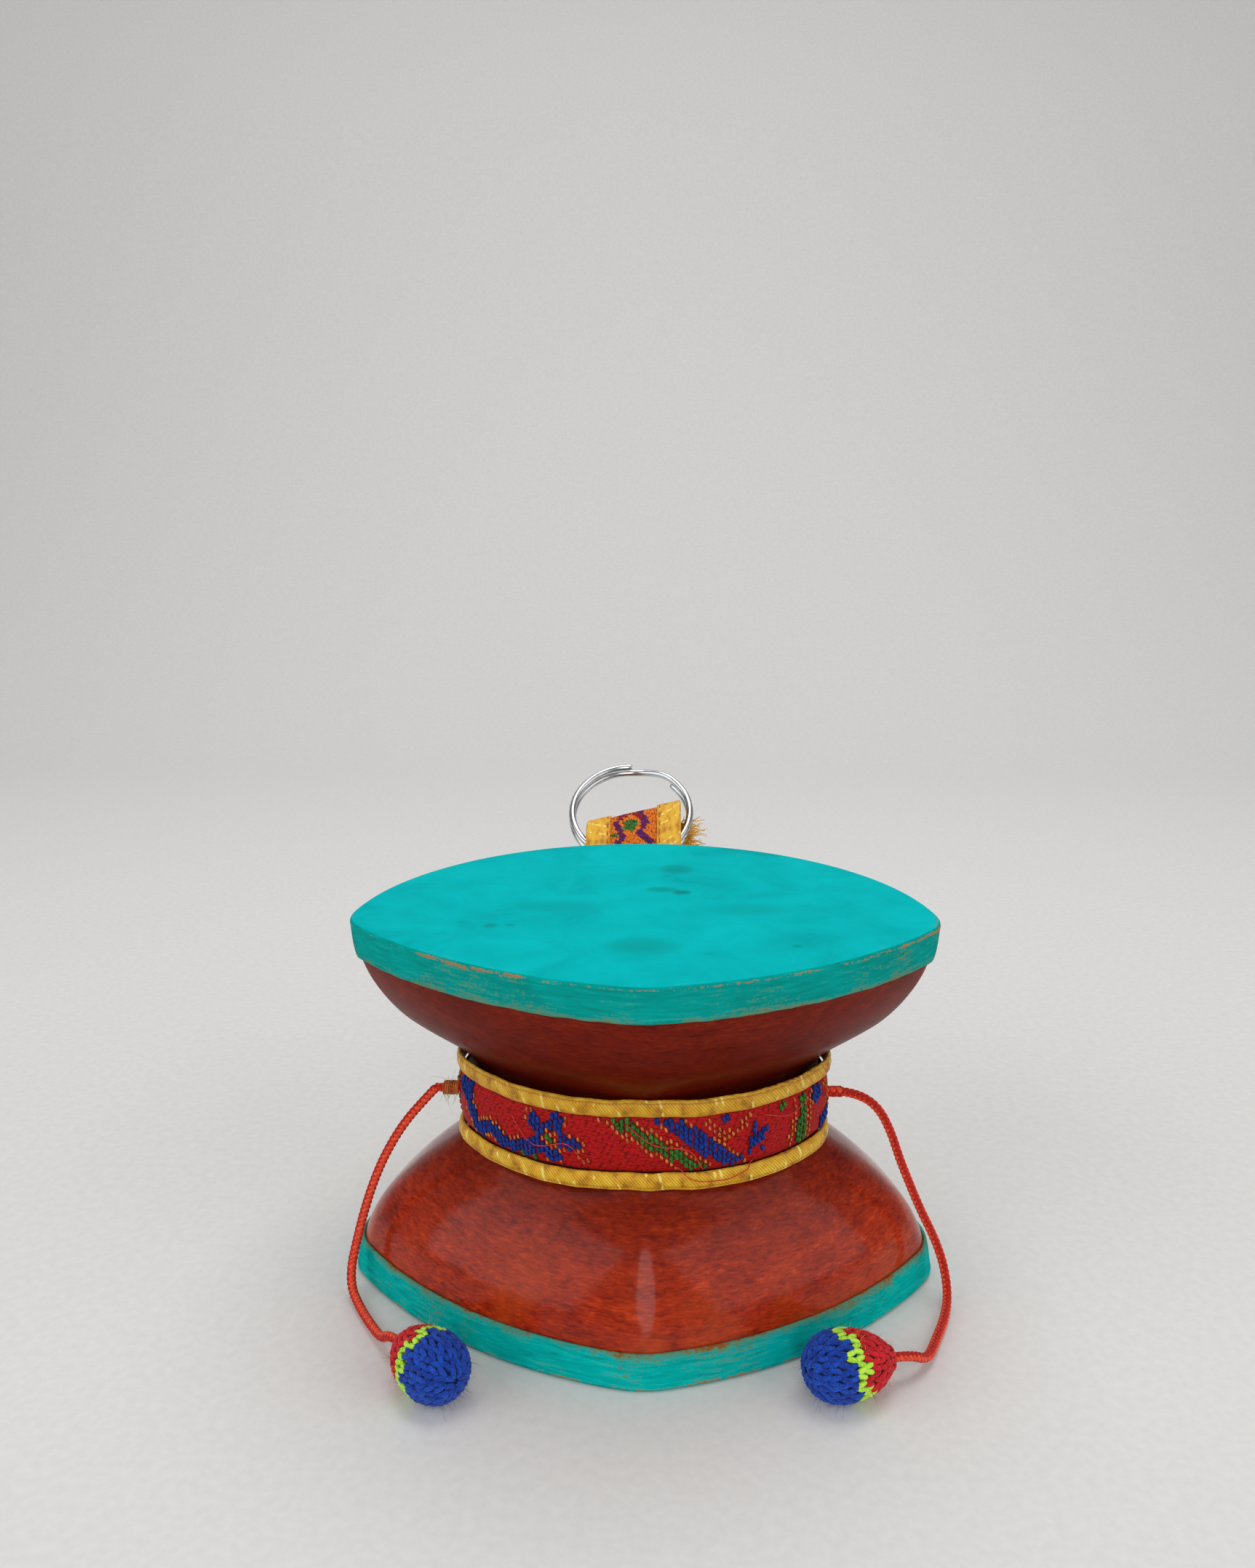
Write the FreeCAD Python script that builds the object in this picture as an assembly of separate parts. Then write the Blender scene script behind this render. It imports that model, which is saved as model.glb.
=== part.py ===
"""A damaru: two carved wooden bowls joined crown to crown, each closed by a painted skin,
with a padded brocade belt round the waist, two corded beaters and a strap with a split ring.
Millimetres, +Z up, +X to the drum's right, the ridge of the bowls towards -Y.
The origin is the centre of the lower head's flat face."""
import FreeCAD, Part
import math
import os

from FreeCAD import Vector

# Bowls: half widths to the side corners, depths to the front ridge and to the round back
upper_half_width = 60.6
upper_front_depth = 35.0
upper_back_depth = 59.0
lower_half_width = 62.5
lower_front_depth = 38.5
lower_back_depth = 58.5
waist_half_width = 33.2
waist_front_depth = 18.0
lower_height = 42.0
upper_height = 38.3
bowl_wall = 5.0
crown_thickness = 9.0
peg_diameter = 12.0
peg_fit = 0.05

# Skins stretched over the rims and lapped down their sides
skin_thickness = 0.8
skin_lap = 7.5
skin_edge_round = 1.0
skin_fit = 0.08

# Belt: padding, brocade and two piped bindings, with the cord that the beaters hang from
belt_half_width = 38.8
belt_front_depth = 21.9
belt_back_depth = 38.6
belt_middle_height = 42.0
binding_spacing = 15.6
binding_height = 3.7
binding_stand_out = 0.85
binding_fit = 0.1
brocade_thickness = 0.8
padding_thickness = 1.4
waist_cord_depth = 2.6
waist_cord_fit = 0.1

# Beater cords where they leave the belt
cord_diameter = 2.0
cord_ball_diameter = 2.4
cord_exit_rise = 1.1
exit_ball_gap = 0.3
left_whipping_length = 3.4
left_whipping_diameter = 3.2
right_root_diameter = 3.0
cord_root_length = 1.1
belt_knot_diameter = 4.2
hole_fit = 0.1
cord_sides = 6

# Beaters: a wooden bead in a crocheted cover of three yarns, lying on the floor
beater_length = 18.0
beater_diameter = 13.6
beater_sides = 14
beater_seat = 0.1
cover_thickness = 1.8
beater_tilt = 6.0
left_beater_turn = -46.0
right_beater_turn = -160.0
cord_lead_length = 4.5
left_tip_side_distance = 46.2
left_tip_front_distance = 33.2
right_tip_side_distance = 47.6
right_tip_front_distance = 35.4
cover_fit = 0.05

# Strap: one brocade strip from the belt's back, folded over the ring and sewn to itself
strap_width = 23.5
strap_side_shift = -3.4
strap_thickness = 1.2
strap_angle = 36.5
strap_root_gap = 2.6
strap_hem_diameter = 2.1
strap_hem_fit = 0.3
strap_fold_reach = 46.0
loop_pitch = 6.9
loop_length = 13.0
closing_length = 8.5
strap_sewn_length = 4.0
strap_sewn_pitch = 2.4
edge_tape_width = 5.8
edge_tape_thickness = 0.4
edge_tape_start = 1.6
tab_height = 13.4
tab_thickness = 1.5
tab_seat = 0.2
tab_top_drop = 1.4
fray_length = 6.6
fray_width = 8.5
fray_thickness = 1.4
fray_fold_distance = 3.5

# Split ring: two turns of steel wire with one crossing
ring_outer_diameter = 32.5
ring_wire_diameter = 1.8
ring_turn_gap = 0.5
ring_fold_distance = 3.2
ring_sides = 6
ring_side_shift = -4.2
ring_crossing_angle = 44.0
ring_crossing_place = 22.0

# Overruns of cuts that have to pass right through a piece
overrun = 2.0
edge_overrun = 0.2
flat_tolerance = 1e-6

# Outline of a bowl as shares of half width, front depth and back depth, with a sharp ridge
ridge_nose_shares = (0.0, 1.0)
ridge_flank_shares = (0.50, 0.72)
ridge_corner_shares = (0.965, 0.06)
# Outline of the belt, which its padding rounds off at the front
belt_nose_shares = (0.25, 0.975)
belt_flank_shares = (0.62, 0.735)
belt_corner_shares = (0.955, 0.15)
# Both outlines turn their side corner and run round the back alike
back_corner_shares = (0.992, 0.10)
# Flats that the carved bowls have on a flank, a side corner and the round back
flank_flats = 6
corner_flats = 2
back_flats = 34

# Height above the rim and width between waist and rim, as shares, down each bowl
upper_flare_shares = ((0.0, 1.0), (0.18, 0.966), (0.36, 0.85), (0.54, 0.63), (0.745, 0.205), (0.87, 0.05),
                      (1.0, 0.0))
lower_flare_shares = ((0.0, 1.0), (0.18, 0.95), (0.36, 0.82), (0.54, 0.58), (0.755, 0.175), (0.87, 0.04),
                      (1.0, 0.0))
# Height and size of the hollow, as shares of the bowl's depth and of the hollow's mouth, with its floor
cavity_mouth_shares = (0.0, 1.0)
cavity_swell_shares = (0.36, 0.90)
cavity_floor_size_share = 0.53

# Section of a piping: height and stand-out as shares
binding_shares = ((-1.0, 0.35), (-0.2, 1.0), (1.0, 0.85))

# Distance from the strap's edge along a tuft of loose threads, with its width and thickness
fray_shares = ((0.0, 0.7, 1.0), (0.6, 1.0, 1.0), (1.0, 0.7, 0.5))

# Places along a beater's axis, from the cord's end, as shares of its length, with its radius
beater_profile_shares = ((0.0, 0.30), (0.20, 0.70), (0.45, 0.96), (0.62, 1.0), (0.79, 0.92), (0.90, 0.72),
                         (0.97, 0.42), (1.0, 0.15))
beater_widest_share = 0.62
end_knot_share = 0.25
beater_red_share = 0.36
beater_lime_share = 0.50
# Places along a knot, as shares of its length, with its radius
knot_shares = ((0.0, 0.45), (0.2, 0.9), (0.5, 1.0), (0.8, 0.9), (1.0, 0.45))

# Free cords, from the belt to the beater's tip
left_cord_route = (
    (-46.0, -0.9, 40.9), (-50.8, -1.9, 35.4), (-54.8, -3.0, 28.6), (-57.6, -4.0, 21.8),
    (-59.6, -5.0, 15.2), (-61.0, -5.8, 9.6), (-61.9, -7.4, 5.2), (-61.3, -10.5, 2.2),
    (-58.9, -14.8, 1.2), (-55.6, -20.4, 1.2), (-51.5, -26.8, 1.8),
)
right_cord_route = (
    (45.0, -0.3, 42.8), (49.2, -1.0, 40.2), (51.9, -1.8, 35.2), (53.9, -2.5, 29.2),
    (56.2, -3.0, 23.6), (58.8, -3.7, 17.6), (61.6, -4.6, 12.2), (63.6, -6.2, 6.8),
    (63.9, -10.2, 2.2), (62.0, -16.4, 1.2), (58.7, -23.6, 1.2), (55.6, -30.6, 1.8),
)

total_height = lower_height + upper_height
cord_exit_height = belt_middle_height + cord_exit_rise
loop_mouth_reach = strap_fold_reach - loop_length
strap_sewn_reach = loop_mouth_reach - closing_length
strap_tail_reach = strap_sewn_reach - strap_sewn_length
cord_radius = cord_diameter / 2
parts_folder = "parts"


class Bowl:
    """Sizes of one carved bowl, measured from its rim towards the waist."""

    def __init__(self, half_width, front_depth, back_depth, height, face_height, direction, flare_shares):
        self.rim = (half_width, front_depth, back_depth)
        self.waist_ratio = waist_half_width / half_width
        self.waist_shift = self.waist_ratio * front_depth - waist_front_depth
        self.depth = height - skin_thickness
        self.face_height = face_height
        self.direction = direction
        self.flare_shares = flare_shares

    def height_at(self, share):
        """Height above the floor at a share of the way from the rim to the waist."""
        return self.face_height + self.direction * (skin_thickness + share * self.depth)

    def share_at(self, distance):
        """Share of the way to the waist at a distance from the head's face."""
        return max(distance - skin_thickness, 0) / self.depth

    def flare_at(self, share):
        """Share of the difference between waist and rim that is left at this height."""
        for (low, low_flare), (high, high_flare) in zip(self.flare_shares, self.flare_shares[1:]):
            if share <= high:
                return low_flare + (high_flare - low_flare) * (share - low) / (high - low)
        return 0

    def sizes_at(self, share, growth=0):
        """Half width, front and back depth and shift to the back at a height: the rim's, scaled down."""
        flare = self.flare_at(share)
        ratio = flare + (1 - flare) * self.waist_ratio
        half_width, front, back = (ratio * size + growth for size in self.rim)
        return half_width, front, back, (1 - flare) * self.waist_shift

    def cavity_sizes(self, size_share):
        """Sizes of the hollow as a share of its mouth."""
        half_width, front, back = (size_share * (size - bowl_wall) for size in self.rim)
        return half_width, front, back, 0


upper_bowl = Bowl(upper_half_width, upper_front_depth, upper_back_depth, upper_height, total_height, -1,
                  upper_flare_shares)
lower_bowl = Bowl(lower_half_width, lower_front_depth, lower_back_depth, lower_height, 0, 1,
                  lower_flare_shares)
belt_sizes = (belt_half_width, belt_front_depth, belt_back_depth, 0)
ridge_outline_shares = (ridge_nose_shares, ridge_flank_shares, ridge_corner_shares)
belt_outline_shares = (belt_nose_shares, belt_flank_shares, belt_corner_shares)


def arc(first, middle, last):
    """Edge of the circular arc through three points."""
    return Part.Arc(first, middle, last).toShape()


def tangent_arc(start, tangent, end):
    """Arc that leaves a point along a tangent and ends at another point."""
    chord = end.sub(start)
    across = tangent.cross(chord).cross(tangent).normalize()
    radius = chord.Length ** 2 / (2 * chord.dot(across))
    centre = start.add(Vector(across).multiply(radius))
    half_chord = start.add(end).multiply(1 / 2)
    middle = centre.add(half_chord.sub(centre).normalize().multiply(radius))
    return arc(start, middle, end)


def outline(sizes, height, outline_shares=ridge_outline_shares):
    """Closed plan outline: ridge or rounded front, flanks, side corners and round back."""
    half_width, front, back, shift = sizes

    def front_point(side, shares):
        return Vector(side * shares[0] * half_width, shift - shares[1] * front, height)

    def back_point(side, shares):
        return Vector(side * shares[0] * half_width, shift + shares[1] * back, height)

    nose, flank, corner = outline_shares
    back_corner = back_point(1, back_corner_shares)
    back_middle = Vector(0, shift + back, height)
    rise = back_middle.y - back_corner.y
    back_radius = (back_corner.x ** 2 + rise ** 2) / (2 * rise)
    from_centre = back_corner.sub(back_middle).add(Vector(0, back_radius, 0))

    def side_corner(side):
        tangent = Vector(side * from_centre.y, -from_centre.x, 0).normalize()
        return tangent_arc(back_point(side, back_corner_shares), tangent, front_point(side, corner))

    edges = [arc(front_point(1, nose), front_point(1, flank), front_point(1, corner)), side_corner(1)]
    edges.append(arc(back_corner, back_middle, back_point(-1, back_corner_shares)))
    edges.append(side_corner(-1))
    edges.append(arc(front_point(-1, corner), front_point(-1, flank), front_point(-1, nose)))
    if nose[0] > 0:
        edges.append(arc(front_point(-1, nose), Vector(0, shift - front, height), front_point(1, nose)))
    return Part.Wire(edges)


def grown(sizes, growth):
    """Outline sizes with a length added all round."""
    half_width, front, back, shift = sizes
    return half_width + growth, front + growth, back + growth, shift


def loft(wires):
    """Solid through a list of closed outlines, straight from each to the next."""
    return Part.makeLoft(wires, True, True)


def faceted(rings):
    """Solid with flat sides through closed rings of corners, each ring similar to the next."""
    faces = []
    for low, high in zip(rings, rings[1:]):
        for first in range(len(low)):
            second = (first + 1) % len(low)
            corners = [low[first], low[second], high[second], high[first]]
            faces.append(Part.Face(Part.makePolygon(corners + corners[:1])))
    for ring in (rings[0], rings[-1]):
        faces.append(Part.Face(Part.makePolygon(ring + ring[:1])))
    solid = Part.Solid(Part.Shell(faces))
    solid.fix(flat_tolerance, flat_tolerance, flat_tolerance)
    return solid


def turned(profile, sides):
    """Many-sided solid along +X through places with radii, as rings of a regular polygon."""
    rings = []
    for place, radius in profile:
        ring = []
        for step in range(sides):
            angle = 2 * math.pi * (step + 1 / 2) / sides
            ring.append(Vector(place, radius * math.cos(angle), radius * math.sin(angle)))
        rings.append(ring)
    return faceted(rings)


def outline_corners(sizes, height):
    """Corners of a bowl's outline at a height, with each of its arcs cut into equal flats."""
    flats = (flank_flats, corner_flats, back_flats, corner_flats, flank_flats)
    corners = []
    for edge, count in zip(outline(sizes, height).OrderedEdges, flats):
        places = edge.discretize(count + 1)
        if edge.Orientation == "Reversed":
            places.reverse()
        corners += places[:-1]
    return corners


def knot_profile(start, length, diameter):
    """Places and radii of a tied knot."""
    return [(start + place * length, radius * diameter / 2) for place, radius in knot_shares]


def bowl_sections(bowl, high_share, growth):
    """Outlines of a bowl from its rim up to a share of the way to the waist."""
    shares = [share for share, _ in bowl.flare_shares if share < high_share] + [high_share]
    return [outline(bowl.sizes_at(share, growth), bowl.height_at(share)) for share in shares]


def bowl_body(bowl):
    """Outer form of a bowl as a filled solid from its rim to the waist."""
    return faceted([outline_corners(bowl.sizes_at(share), bowl.height_at(share))
                    for share, _ in bowl.flare_shares])


def bowl_cavity(bowl):
    """Hollow of a bowl: its mouth inside the rim's wall, drawn in to a floor over the crown."""
    floor_shares = (1 - crown_thickness / bowl.depth, cavity_floor_size_share)
    rings = []
    for height_share, size_share in (cavity_mouth_shares, cavity_swell_shares, floor_shares):
        rings.append(outline_corners(bowl.cavity_sizes(size_share), bowl.height_at(height_share)))
    return faceted(rings)


def waist_peg():
    """Dowel through both crowns, flush with the floors of the two hollows."""
    base = Vector(0, 0, lower_height - crown_thickness)
    return Part.makeCylinder(peg_diameter / 2, 2 * crown_thickness, base)


def shell(bowl):
    """Carved bowl with its hollow and the peg's hole."""
    base = Vector(0, 0, lower_height - crown_thickness - overrun)
    hole = Part.makeCylinder(peg_diameter / 2 + peg_fit, 2 * (crown_thickness + overrun), base)
    return bowl_body(bowl).cut(bowl_cavity(bowl)).cut(hole)


def head(bowl):
    """Skin over a rim: a flat face with a soft edge and a skirt lapped down the side."""
    lap_share = bowl.share_at(skin_lap)
    face = bowl.face_height
    edge = []
    for turn in (0, math.pi / 2):
        growth = skin_thickness - skin_edge_round * (1 - math.sin(turn))
        height = face + bowl.direction * skin_edge_round * (1 - math.cos(turn))
        edge.append(outline(bowl.sizes_at(0, growth), height))
    outer = loft(edge + bowl_sections(bowl, lap_share, skin_thickness)[1:])
    beyond_share = bowl.share_at(skin_lap + overrun)
    return outer.cut(loft(bowl_sections(bowl, beyond_share, skin_fit)))


def belt_outline(growth, height):
    """Outline of the belt, grown by a length, at a height."""
    return outline(grown(belt_sizes, growth), height, belt_outline_shares)


def belt_block(low, high, growth):
    """Solid within the belt's outline, grown by a length, between two heights."""
    return loft([belt_outline(growth, low), belt_outline(growth, high)])


def belt_band(low, high, inner_growth, outer_growth):
    """Band round the waist between two heights."""
    return belt_block(low, high, outer_growth).cut(belt_block(low - overrun, high + overrun, inner_growth))


def bowl_overhang(side, height):
    """How far a bowl reaches out past the belt's outline at a height."""
    bowl = upper_bowl if side > 0 else lower_bowl
    half_width, front, back, shift = bowl.sizes_at(bowl.share_at(abs(height - bowl.face_height)))
    beside = half_width - belt_half_width
    before = front - shift - belt_front_depth
    behind = back + shift - belt_back_depth
    return max(beside, before, behind)


def binding(side):
    """Padded piping on one edge of the belt: round outside, and leaning out past the bowl."""
    middle = belt_middle_height + side * binding_spacing / 2
    radius = binding_height / 2
    lean = max(bowl_overhang(side, middle + side * radius) + binding_fit + brocade_thickness, 0)
    depth = brocade_thickness + binding_stand_out
    sections = []
    for height_share, out_share in binding_shares:
        growth = out_share * depth - brocade_thickness
        sections.append(belt_outline(growth, middle + side * height_share * radius))
    inner = []
    for end in (-1, 1):
        reach = end * (radius + edge_overrun)
        growth = max(end, 0) * lean * reach / radius - brocade_thickness
        inner.append(belt_outline(growth, middle + side * reach))
    return loft(sections).cut(loft(inner))


def waist_cord():
    """Cord tied round the waist under the belt, which both beater cords are knotted to."""
    ring = belt_block(cord_exit_height - cord_radius, cord_exit_height + cord_radius, -waist_cord_depth)
    return ring.cut(bowl_body(upper_bowl)).cut(bowl_body(lower_bowl))


def belt_layer(inner_growth, outer_growth):
    """Layer of the belt between the two bindings, pierced where the cords leave."""
    half = (binding_spacing - binding_height) / 2
    layer = belt_band(belt_middle_height - half, belt_middle_height + half, inner_growth, outer_growth)
    for side in (-1, 1):
        layer = layer.cut(root_form(side, hole_fit, right_root_diameter))
    return layer


def belt_padding():
    """Padded lining behind the cloth, standing clear of the waist cord."""
    return belt_layer(-brocade_thickness - padding_thickness, -brocade_thickness)


def belt_brocade():
    """Brocade strip between the two bindings."""
    return belt_layer(-brocade_thickness, 0)


def placed_at_side(solid, side):
    """A solid drawn along +X, turned to one side of the drum at the cords' height."""
    turn = FreeCAD.Rotation(Vector(0, 0, 1), 0 if side > 0 else 180)
    solid.Placement = FreeCAD.Placement(Vector(0, 0, cord_exit_height), turn)
    return solid


def exit_ball_x(side):
    """Distance from the middle to the point where a free cord starts to swing."""
    length = left_whipping_length if side < 0 else cord_root_length
    return belt_half_width + length + cord_ball_diameter / 2 + exit_ball_gap


def root_form(side, growth, diameter):
    """Held stretch of a beater cord: a knot under the cloth and a straight neck out of it."""
    start = belt_half_width - waist_cord_depth + waist_cord_fit
    knot_end = belt_half_width - brocade_thickness - hole_fit
    end = exit_ball_x(side) - cord_ball_diameter / 2 - exit_ball_gap
    profile = knot_profile(start - growth, knot_end - start + 2 * growth, belt_knot_diameter + 2 * growth)
    neck = [(knot_end, diameter / 2 + growth), (end, diameter / 2 + growth)]
    return placed_at_side(turned(profile, cord_sides).fuse(turned(neck, cord_sides)), side)


def left_whipping():
    """Short thread whipping round the left cord, outside the cloth."""
    start = belt_half_width + hole_fit
    end = belt_half_width + left_whipping_length
    sleeve = turned([(start, left_whipping_diameter / 2), (end, left_whipping_diameter / 2)], cord_sides)
    hole_radius = cord_radius + cover_fit
    hole = turned([(start - overrun, hole_radius), (end + overrun, hole_radius)], cord_sides)
    return placed_at_side(sleeve.cut(hole), -1)


def cord_root(side):
    """Cord's end that the belt holds."""
    return root_form(side, 0, cord_diameter if side < 0 else right_root_diameter)


def corner_arcs(points):
    """Tangent arc at each inner point: its radius is set by the shorter of its two runs."""
    reach_share = 0.45
    arcs = []
    radii = []
    for before, corner, after in zip(points, points[1:], points[2:]):
        incoming = before.sub(corner)
        outgoing = after.sub(corner)
        reach = reach_share * min(incoming.Length, outgoing.Length)
        turn = math.pi - incoming.getAngle(outgoing)
        radius = reach / math.tan(turn / 2)
        start = corner.add(incoming.normalize().multiply(reach))
        end = corner.add(outgoing.normalize().multiply(reach))
        bisector = incoming.add(outgoing).normalize()
        depth = radius / math.cos(turn / 2) - radius
        arcs.append((start, corner.add(bisector.multiply(depth)), end))
        radii.append(radius)
    return arcs, radii


def cord_path(name, points):
    """Path of straight runs joined by tangent arcs, with its radii printed."""
    arcs, radii = corner_arcs(points)
    edges = []
    place = points[0]
    for start, middle, end in arcs:
        edges.append(Part.LineSegment(place, start).toShape())
        edges.append(arc(start, middle, end))
        place = end
    edges.append(Part.LineSegment(place, points[-1]).toShape())
    path = Part.Wire(edges)
    print(name, "length", round(path.Length, 1), "radii", [round(radius, 1) for radius in radii])
    return path


def sweep(path, start, direction, radius, sides):
    """Tube of a regular many-sided section carried along a path."""
    across = direction.cross(Vector(0, 1, 0)).normalize()
    up = Vector(across).cross(direction).normalize()
    corners = []
    for step in range(sides):
        angle = 2 * math.pi * (step + 1 / 2) / sides
        sideways = Vector(across).multiply(radius * math.cos(angle))
        corners.append(start.add(sideways).add(Vector(up).multiply(radius * math.sin(angle))))
    section = Part.makePolygon(corners + corners[:1])
    tube = path.makePipeShell([section], True, False)
    straight_volume = Part.Face(section).Area * path.Length
    print("tube volume over section times length", round(tube.Volume / straight_volume, 4))
    return tube


def free_cord(name, side, route, beater_placement):
    """Free braided cord from the belt's edge to the beater's tip, with the ball it swings on."""
    lead = beater_placement.multVec(Vector(-cord_lead_length, 0, 0))
    tip = beater_placement.multVec(Vector(0, 0, 0))
    points = [Vector(side * exit_ball_x(side), 0, cord_exit_height)]
    points += [Vector(*place) for place in route] + [lead, tip]
    path = cord_path(name, points)
    first_run = points[1].sub(points[0])
    tube = sweep(path, points[0], first_run, cord_radius, cord_sides)
    half = cord_ball_diameter / 2
    ball = turned(knot_profile(-half, cord_ball_diameter, cord_ball_diameter), cord_sides)
    ball.Placement.Base = points[0]
    return tube.fuse(ball)


def beater_frame(side_distance, front_distance, turn):
    """Placement that puts a beater, drawn along +X, on the floor with its tip at the cord."""
    tilt = FreeCAD.Rotation(Vector(0, 1, 0), -beater_tilt)
    heading = FreeCAD.Rotation(Vector(0, 0, 1), turn)
    rotation = heading.multiply(tilt)
    widest = rotation.multVec(Vector(beater_widest_share * beater_length, 0, 0))
    height = beater_diameter / 2 + beater_seat - widest.z
    return FreeCAD.Placement(Vector(side_distance, -front_distance, height), rotation)


def beater_body(inset):
    """Egg form of a beater, drawn in by a wall: a cone from the tip to a round dome."""
    length = beater_length - 2 * inset
    radius = beater_diameter / 2 - inset
    profile = [(inset + place * length, share * radius) for place, share in beater_profile_shares]
    return turned(profile, beater_sides)


def beater_slab(low, high):
    """Box across a beater between two places along its axis."""
    width = beater_diameter + overrun
    slab = Part.makeBox(high - low, width, width)
    slab.translate(Vector(low, -width / 2, -width / 2))
    return slab


def end_knot(growth):
    """Cord's end inside the cover, with the knot that keeps it from pulling out."""
    length = end_knot_share * beater_length
    stub = turned([(-growth, cord_radius + growth), (length, cord_radius + growth)], cord_sides)
    knot = turned(knot_profile(length - cord_diameter - growth, 2 * (cord_diameter + growth),
                               2 * (cord_diameter + growth)), cord_sides)
    return stub.fuse(knot)


def beater_pieces(side_name, placement):
    """Bead, the cover's three yarns and the cord's end knot, in place on the floor."""
    red_end = beater_red_share * beater_length
    lime_end = beater_lime_share * beater_length
    room = end_knot(cover_fit)
    cover = beater_body(0).cut(beater_body(cover_thickness)).cut(room)
    pieces = {"bead": beater_body(cover_thickness + cover_fit).cut(room),
              "red_yarn": cover.common(beater_slab(-overrun, red_end)),
              "lime_yarn": cover.common(beater_slab(red_end, lime_end)),
              "blue_yarn": cover.common(beater_slab(lime_end, beater_length + overrun)),
              "end_knot": end_knot(0)}
    placed = {}
    for name, piece in pieces.items():
        piece.Placement = placement
        placed[side_name + "_beater_" + name] = piece
    return placed


strap_direction = Vector(0, math.cos(math.radians(strap_angle)), math.sin(math.radians(strap_angle)))
strap_normal = Vector(0, -strap_direction.z, strap_direction.y)
strap_root = Vector(strap_side_shift, belt_back_depth + strap_root_gap,
                    belt_middle_height + (binding_spacing + binding_height) / 2 - binding_stand_out)


def strap_point(reach, rise, sideways=0):
    """Point at a reach along the strap, a rise off its lower layer and a step to the side."""
    along = Vector(strap_direction).multiply(reach)
    up = Vector(strap_normal).multiply(rise)
    return strap_root.add(along).add(up).add(Vector(sideways, 0, 0))


def strap_path(start):
    """Strip's middle line: out from the belt, over the fold and back down to the sewn tail."""
    radius = loop_pitch / 2
    edges = [Part.LineSegment(strap_point(start, 0), strap_point(strap_fold_reach, 0)).toShape()]
    edges.append(arc(strap_point(strap_fold_reach, 0), strap_point(strap_fold_reach + radius, radius),
                     strap_point(strap_fold_reach, loop_pitch)))
    edges.append(Part.LineSegment(strap_point(strap_fold_reach, loop_pitch),
                                  strap_point(loop_mouth_reach, loop_pitch)).toShape())
    edges.extend(closing_bend())
    edges.append(Part.LineSegment(strap_point(strap_sewn_reach, strap_sewn_pitch),
                                  strap_point(strap_tail_reach, strap_sewn_pitch)).toShape())
    return Part.Wire(edges)


def closing_bend():
    """Two equal arcs that bring the upper layer down from the loop to the sewn stretch."""
    length = loop_mouth_reach - strap_sewn_reach
    drop = loop_pitch - strap_sewn_pitch
    radius = (length ** 2 + drop ** 2) / (4 * drop)
    turn = math.asin(length / (2 * radius))
    half_length = radius * math.sin(turn / 2)
    half_drop = radius * (1 - math.cos(turn / 2))
    middle = strap_point(loop_mouth_reach - length / 2, loop_pitch - drop / 2)
    first = arc(strap_point(loop_mouth_reach, loop_pitch),
                strap_point(loop_mouth_reach - half_length, loop_pitch - half_drop), middle)
    second = arc(middle, strap_point(strap_sewn_reach + half_length, strap_sewn_pitch + half_drop),
                 strap_point(strap_sewn_reach, strap_sewn_pitch))
    return [first, second]


def strap_sweep(start, corners):
    """Solid of a section, given as steps sideways and off the strap, carried along its path."""
    section = Part.makePolygon([strap_point(start, rise, step) for step, rise in corners + corners[:1]])
    return strap_path(start).makePipeShell([section], True, False)


def strap_brocade():
    """Brocade strip with the rolled hem that it turns on at the belt."""
    half_width = strap_width / 2
    half = strap_thickness / 2
    corners = [(-half_width, -half), (half_width, -half), (half_width, half), (-half_width, half)]
    strip = strap_sweep(0, corners)
    hem = turned([(-half_width, strap_hem_diameter / 2), (half_width, strap_hem_diameter / 2)], cord_sides)
    hem.Placement.Base = strap_point(0, 0)
    return strip.fuse(hem)


def edge_tape(side):
    """Satin tape folded round one edge of the strap."""
    edge = strap_width / 2
    inner = side * (edge - edge_tape_width)
    outer = side * (edge + edge_tape_thickness)
    half = strap_thickness / 2
    proud = half + edge_tape_thickness
    corners = [(inner, -proud), (outer, -proud), (outer, proud), (inner, proud), (inner, half),
               (side * edge, half), (side * edge, -half), (inner, -half)]
    return strap_sweep(edge_tape_start, corners)


def strap_tab():
    """Strap's lower end, sewn flat over the belt's back, hollowed along its top for the hem."""
    top = strap_root.z - tab_top_drop
    low = top - tab_height
    inner_growth = binding_stand_out + tab_seat
    band = belt_band(low, top, inner_growth, inner_growth + tab_thickness)
    keep = Part.makeBox(strap_width, belt_back_depth + overrun, tab_height + overrun * 2)
    keep.translate(Vector(strap_side_shift - strap_width / 2, overrun, low - overrun))
    room = Part.makeCylinder(strap_hem_diameter / 2 + strap_hem_fit, strap_width + overrun * 2,
                             strap_point(0, 0, -strap_width / 2 - overrun), Vector(1, 0, 0))
    return band.common(keep).cut(room)


def strap_fray():
    """Loose yellow threads at the strap's right edge, as one tuft."""
    edge = strap_width / 2 + edge_tape_thickness
    sections = []
    for place_share, width_share, thickness_share in fray_shares:
        step = edge + place_share * fray_length
        half_width = width_share * fray_width / 2
        half = thickness_share * fray_thickness / 2
        low = strap_fold_reach - fray_fold_distance - half_width
        high = strap_fold_reach - fray_fold_distance + half_width
        sections.append([strap_point(low, -half, step), strap_point(high, -half, step),
                         strap_point(high, half, step), strap_point(low, half, step)])
    return faceted(sections)


ring_radius = (ring_outer_diameter - ring_wire_diameter) / 2
ring_pitch = ring_wire_diameter + ring_turn_gap


def ring_point(angle, offset):
    """Point on the ring's middle line at an angle from the strap's direction."""
    sideways = ring_side_shift - strap_side_shift + ring_radius * math.sin(angle)
    reach = strap_fold_reach + ring_fold_distance + ring_radius * math.cos(angle)
    return strap_point(reach, loop_pitch / 2 + offset, sideways)


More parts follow.
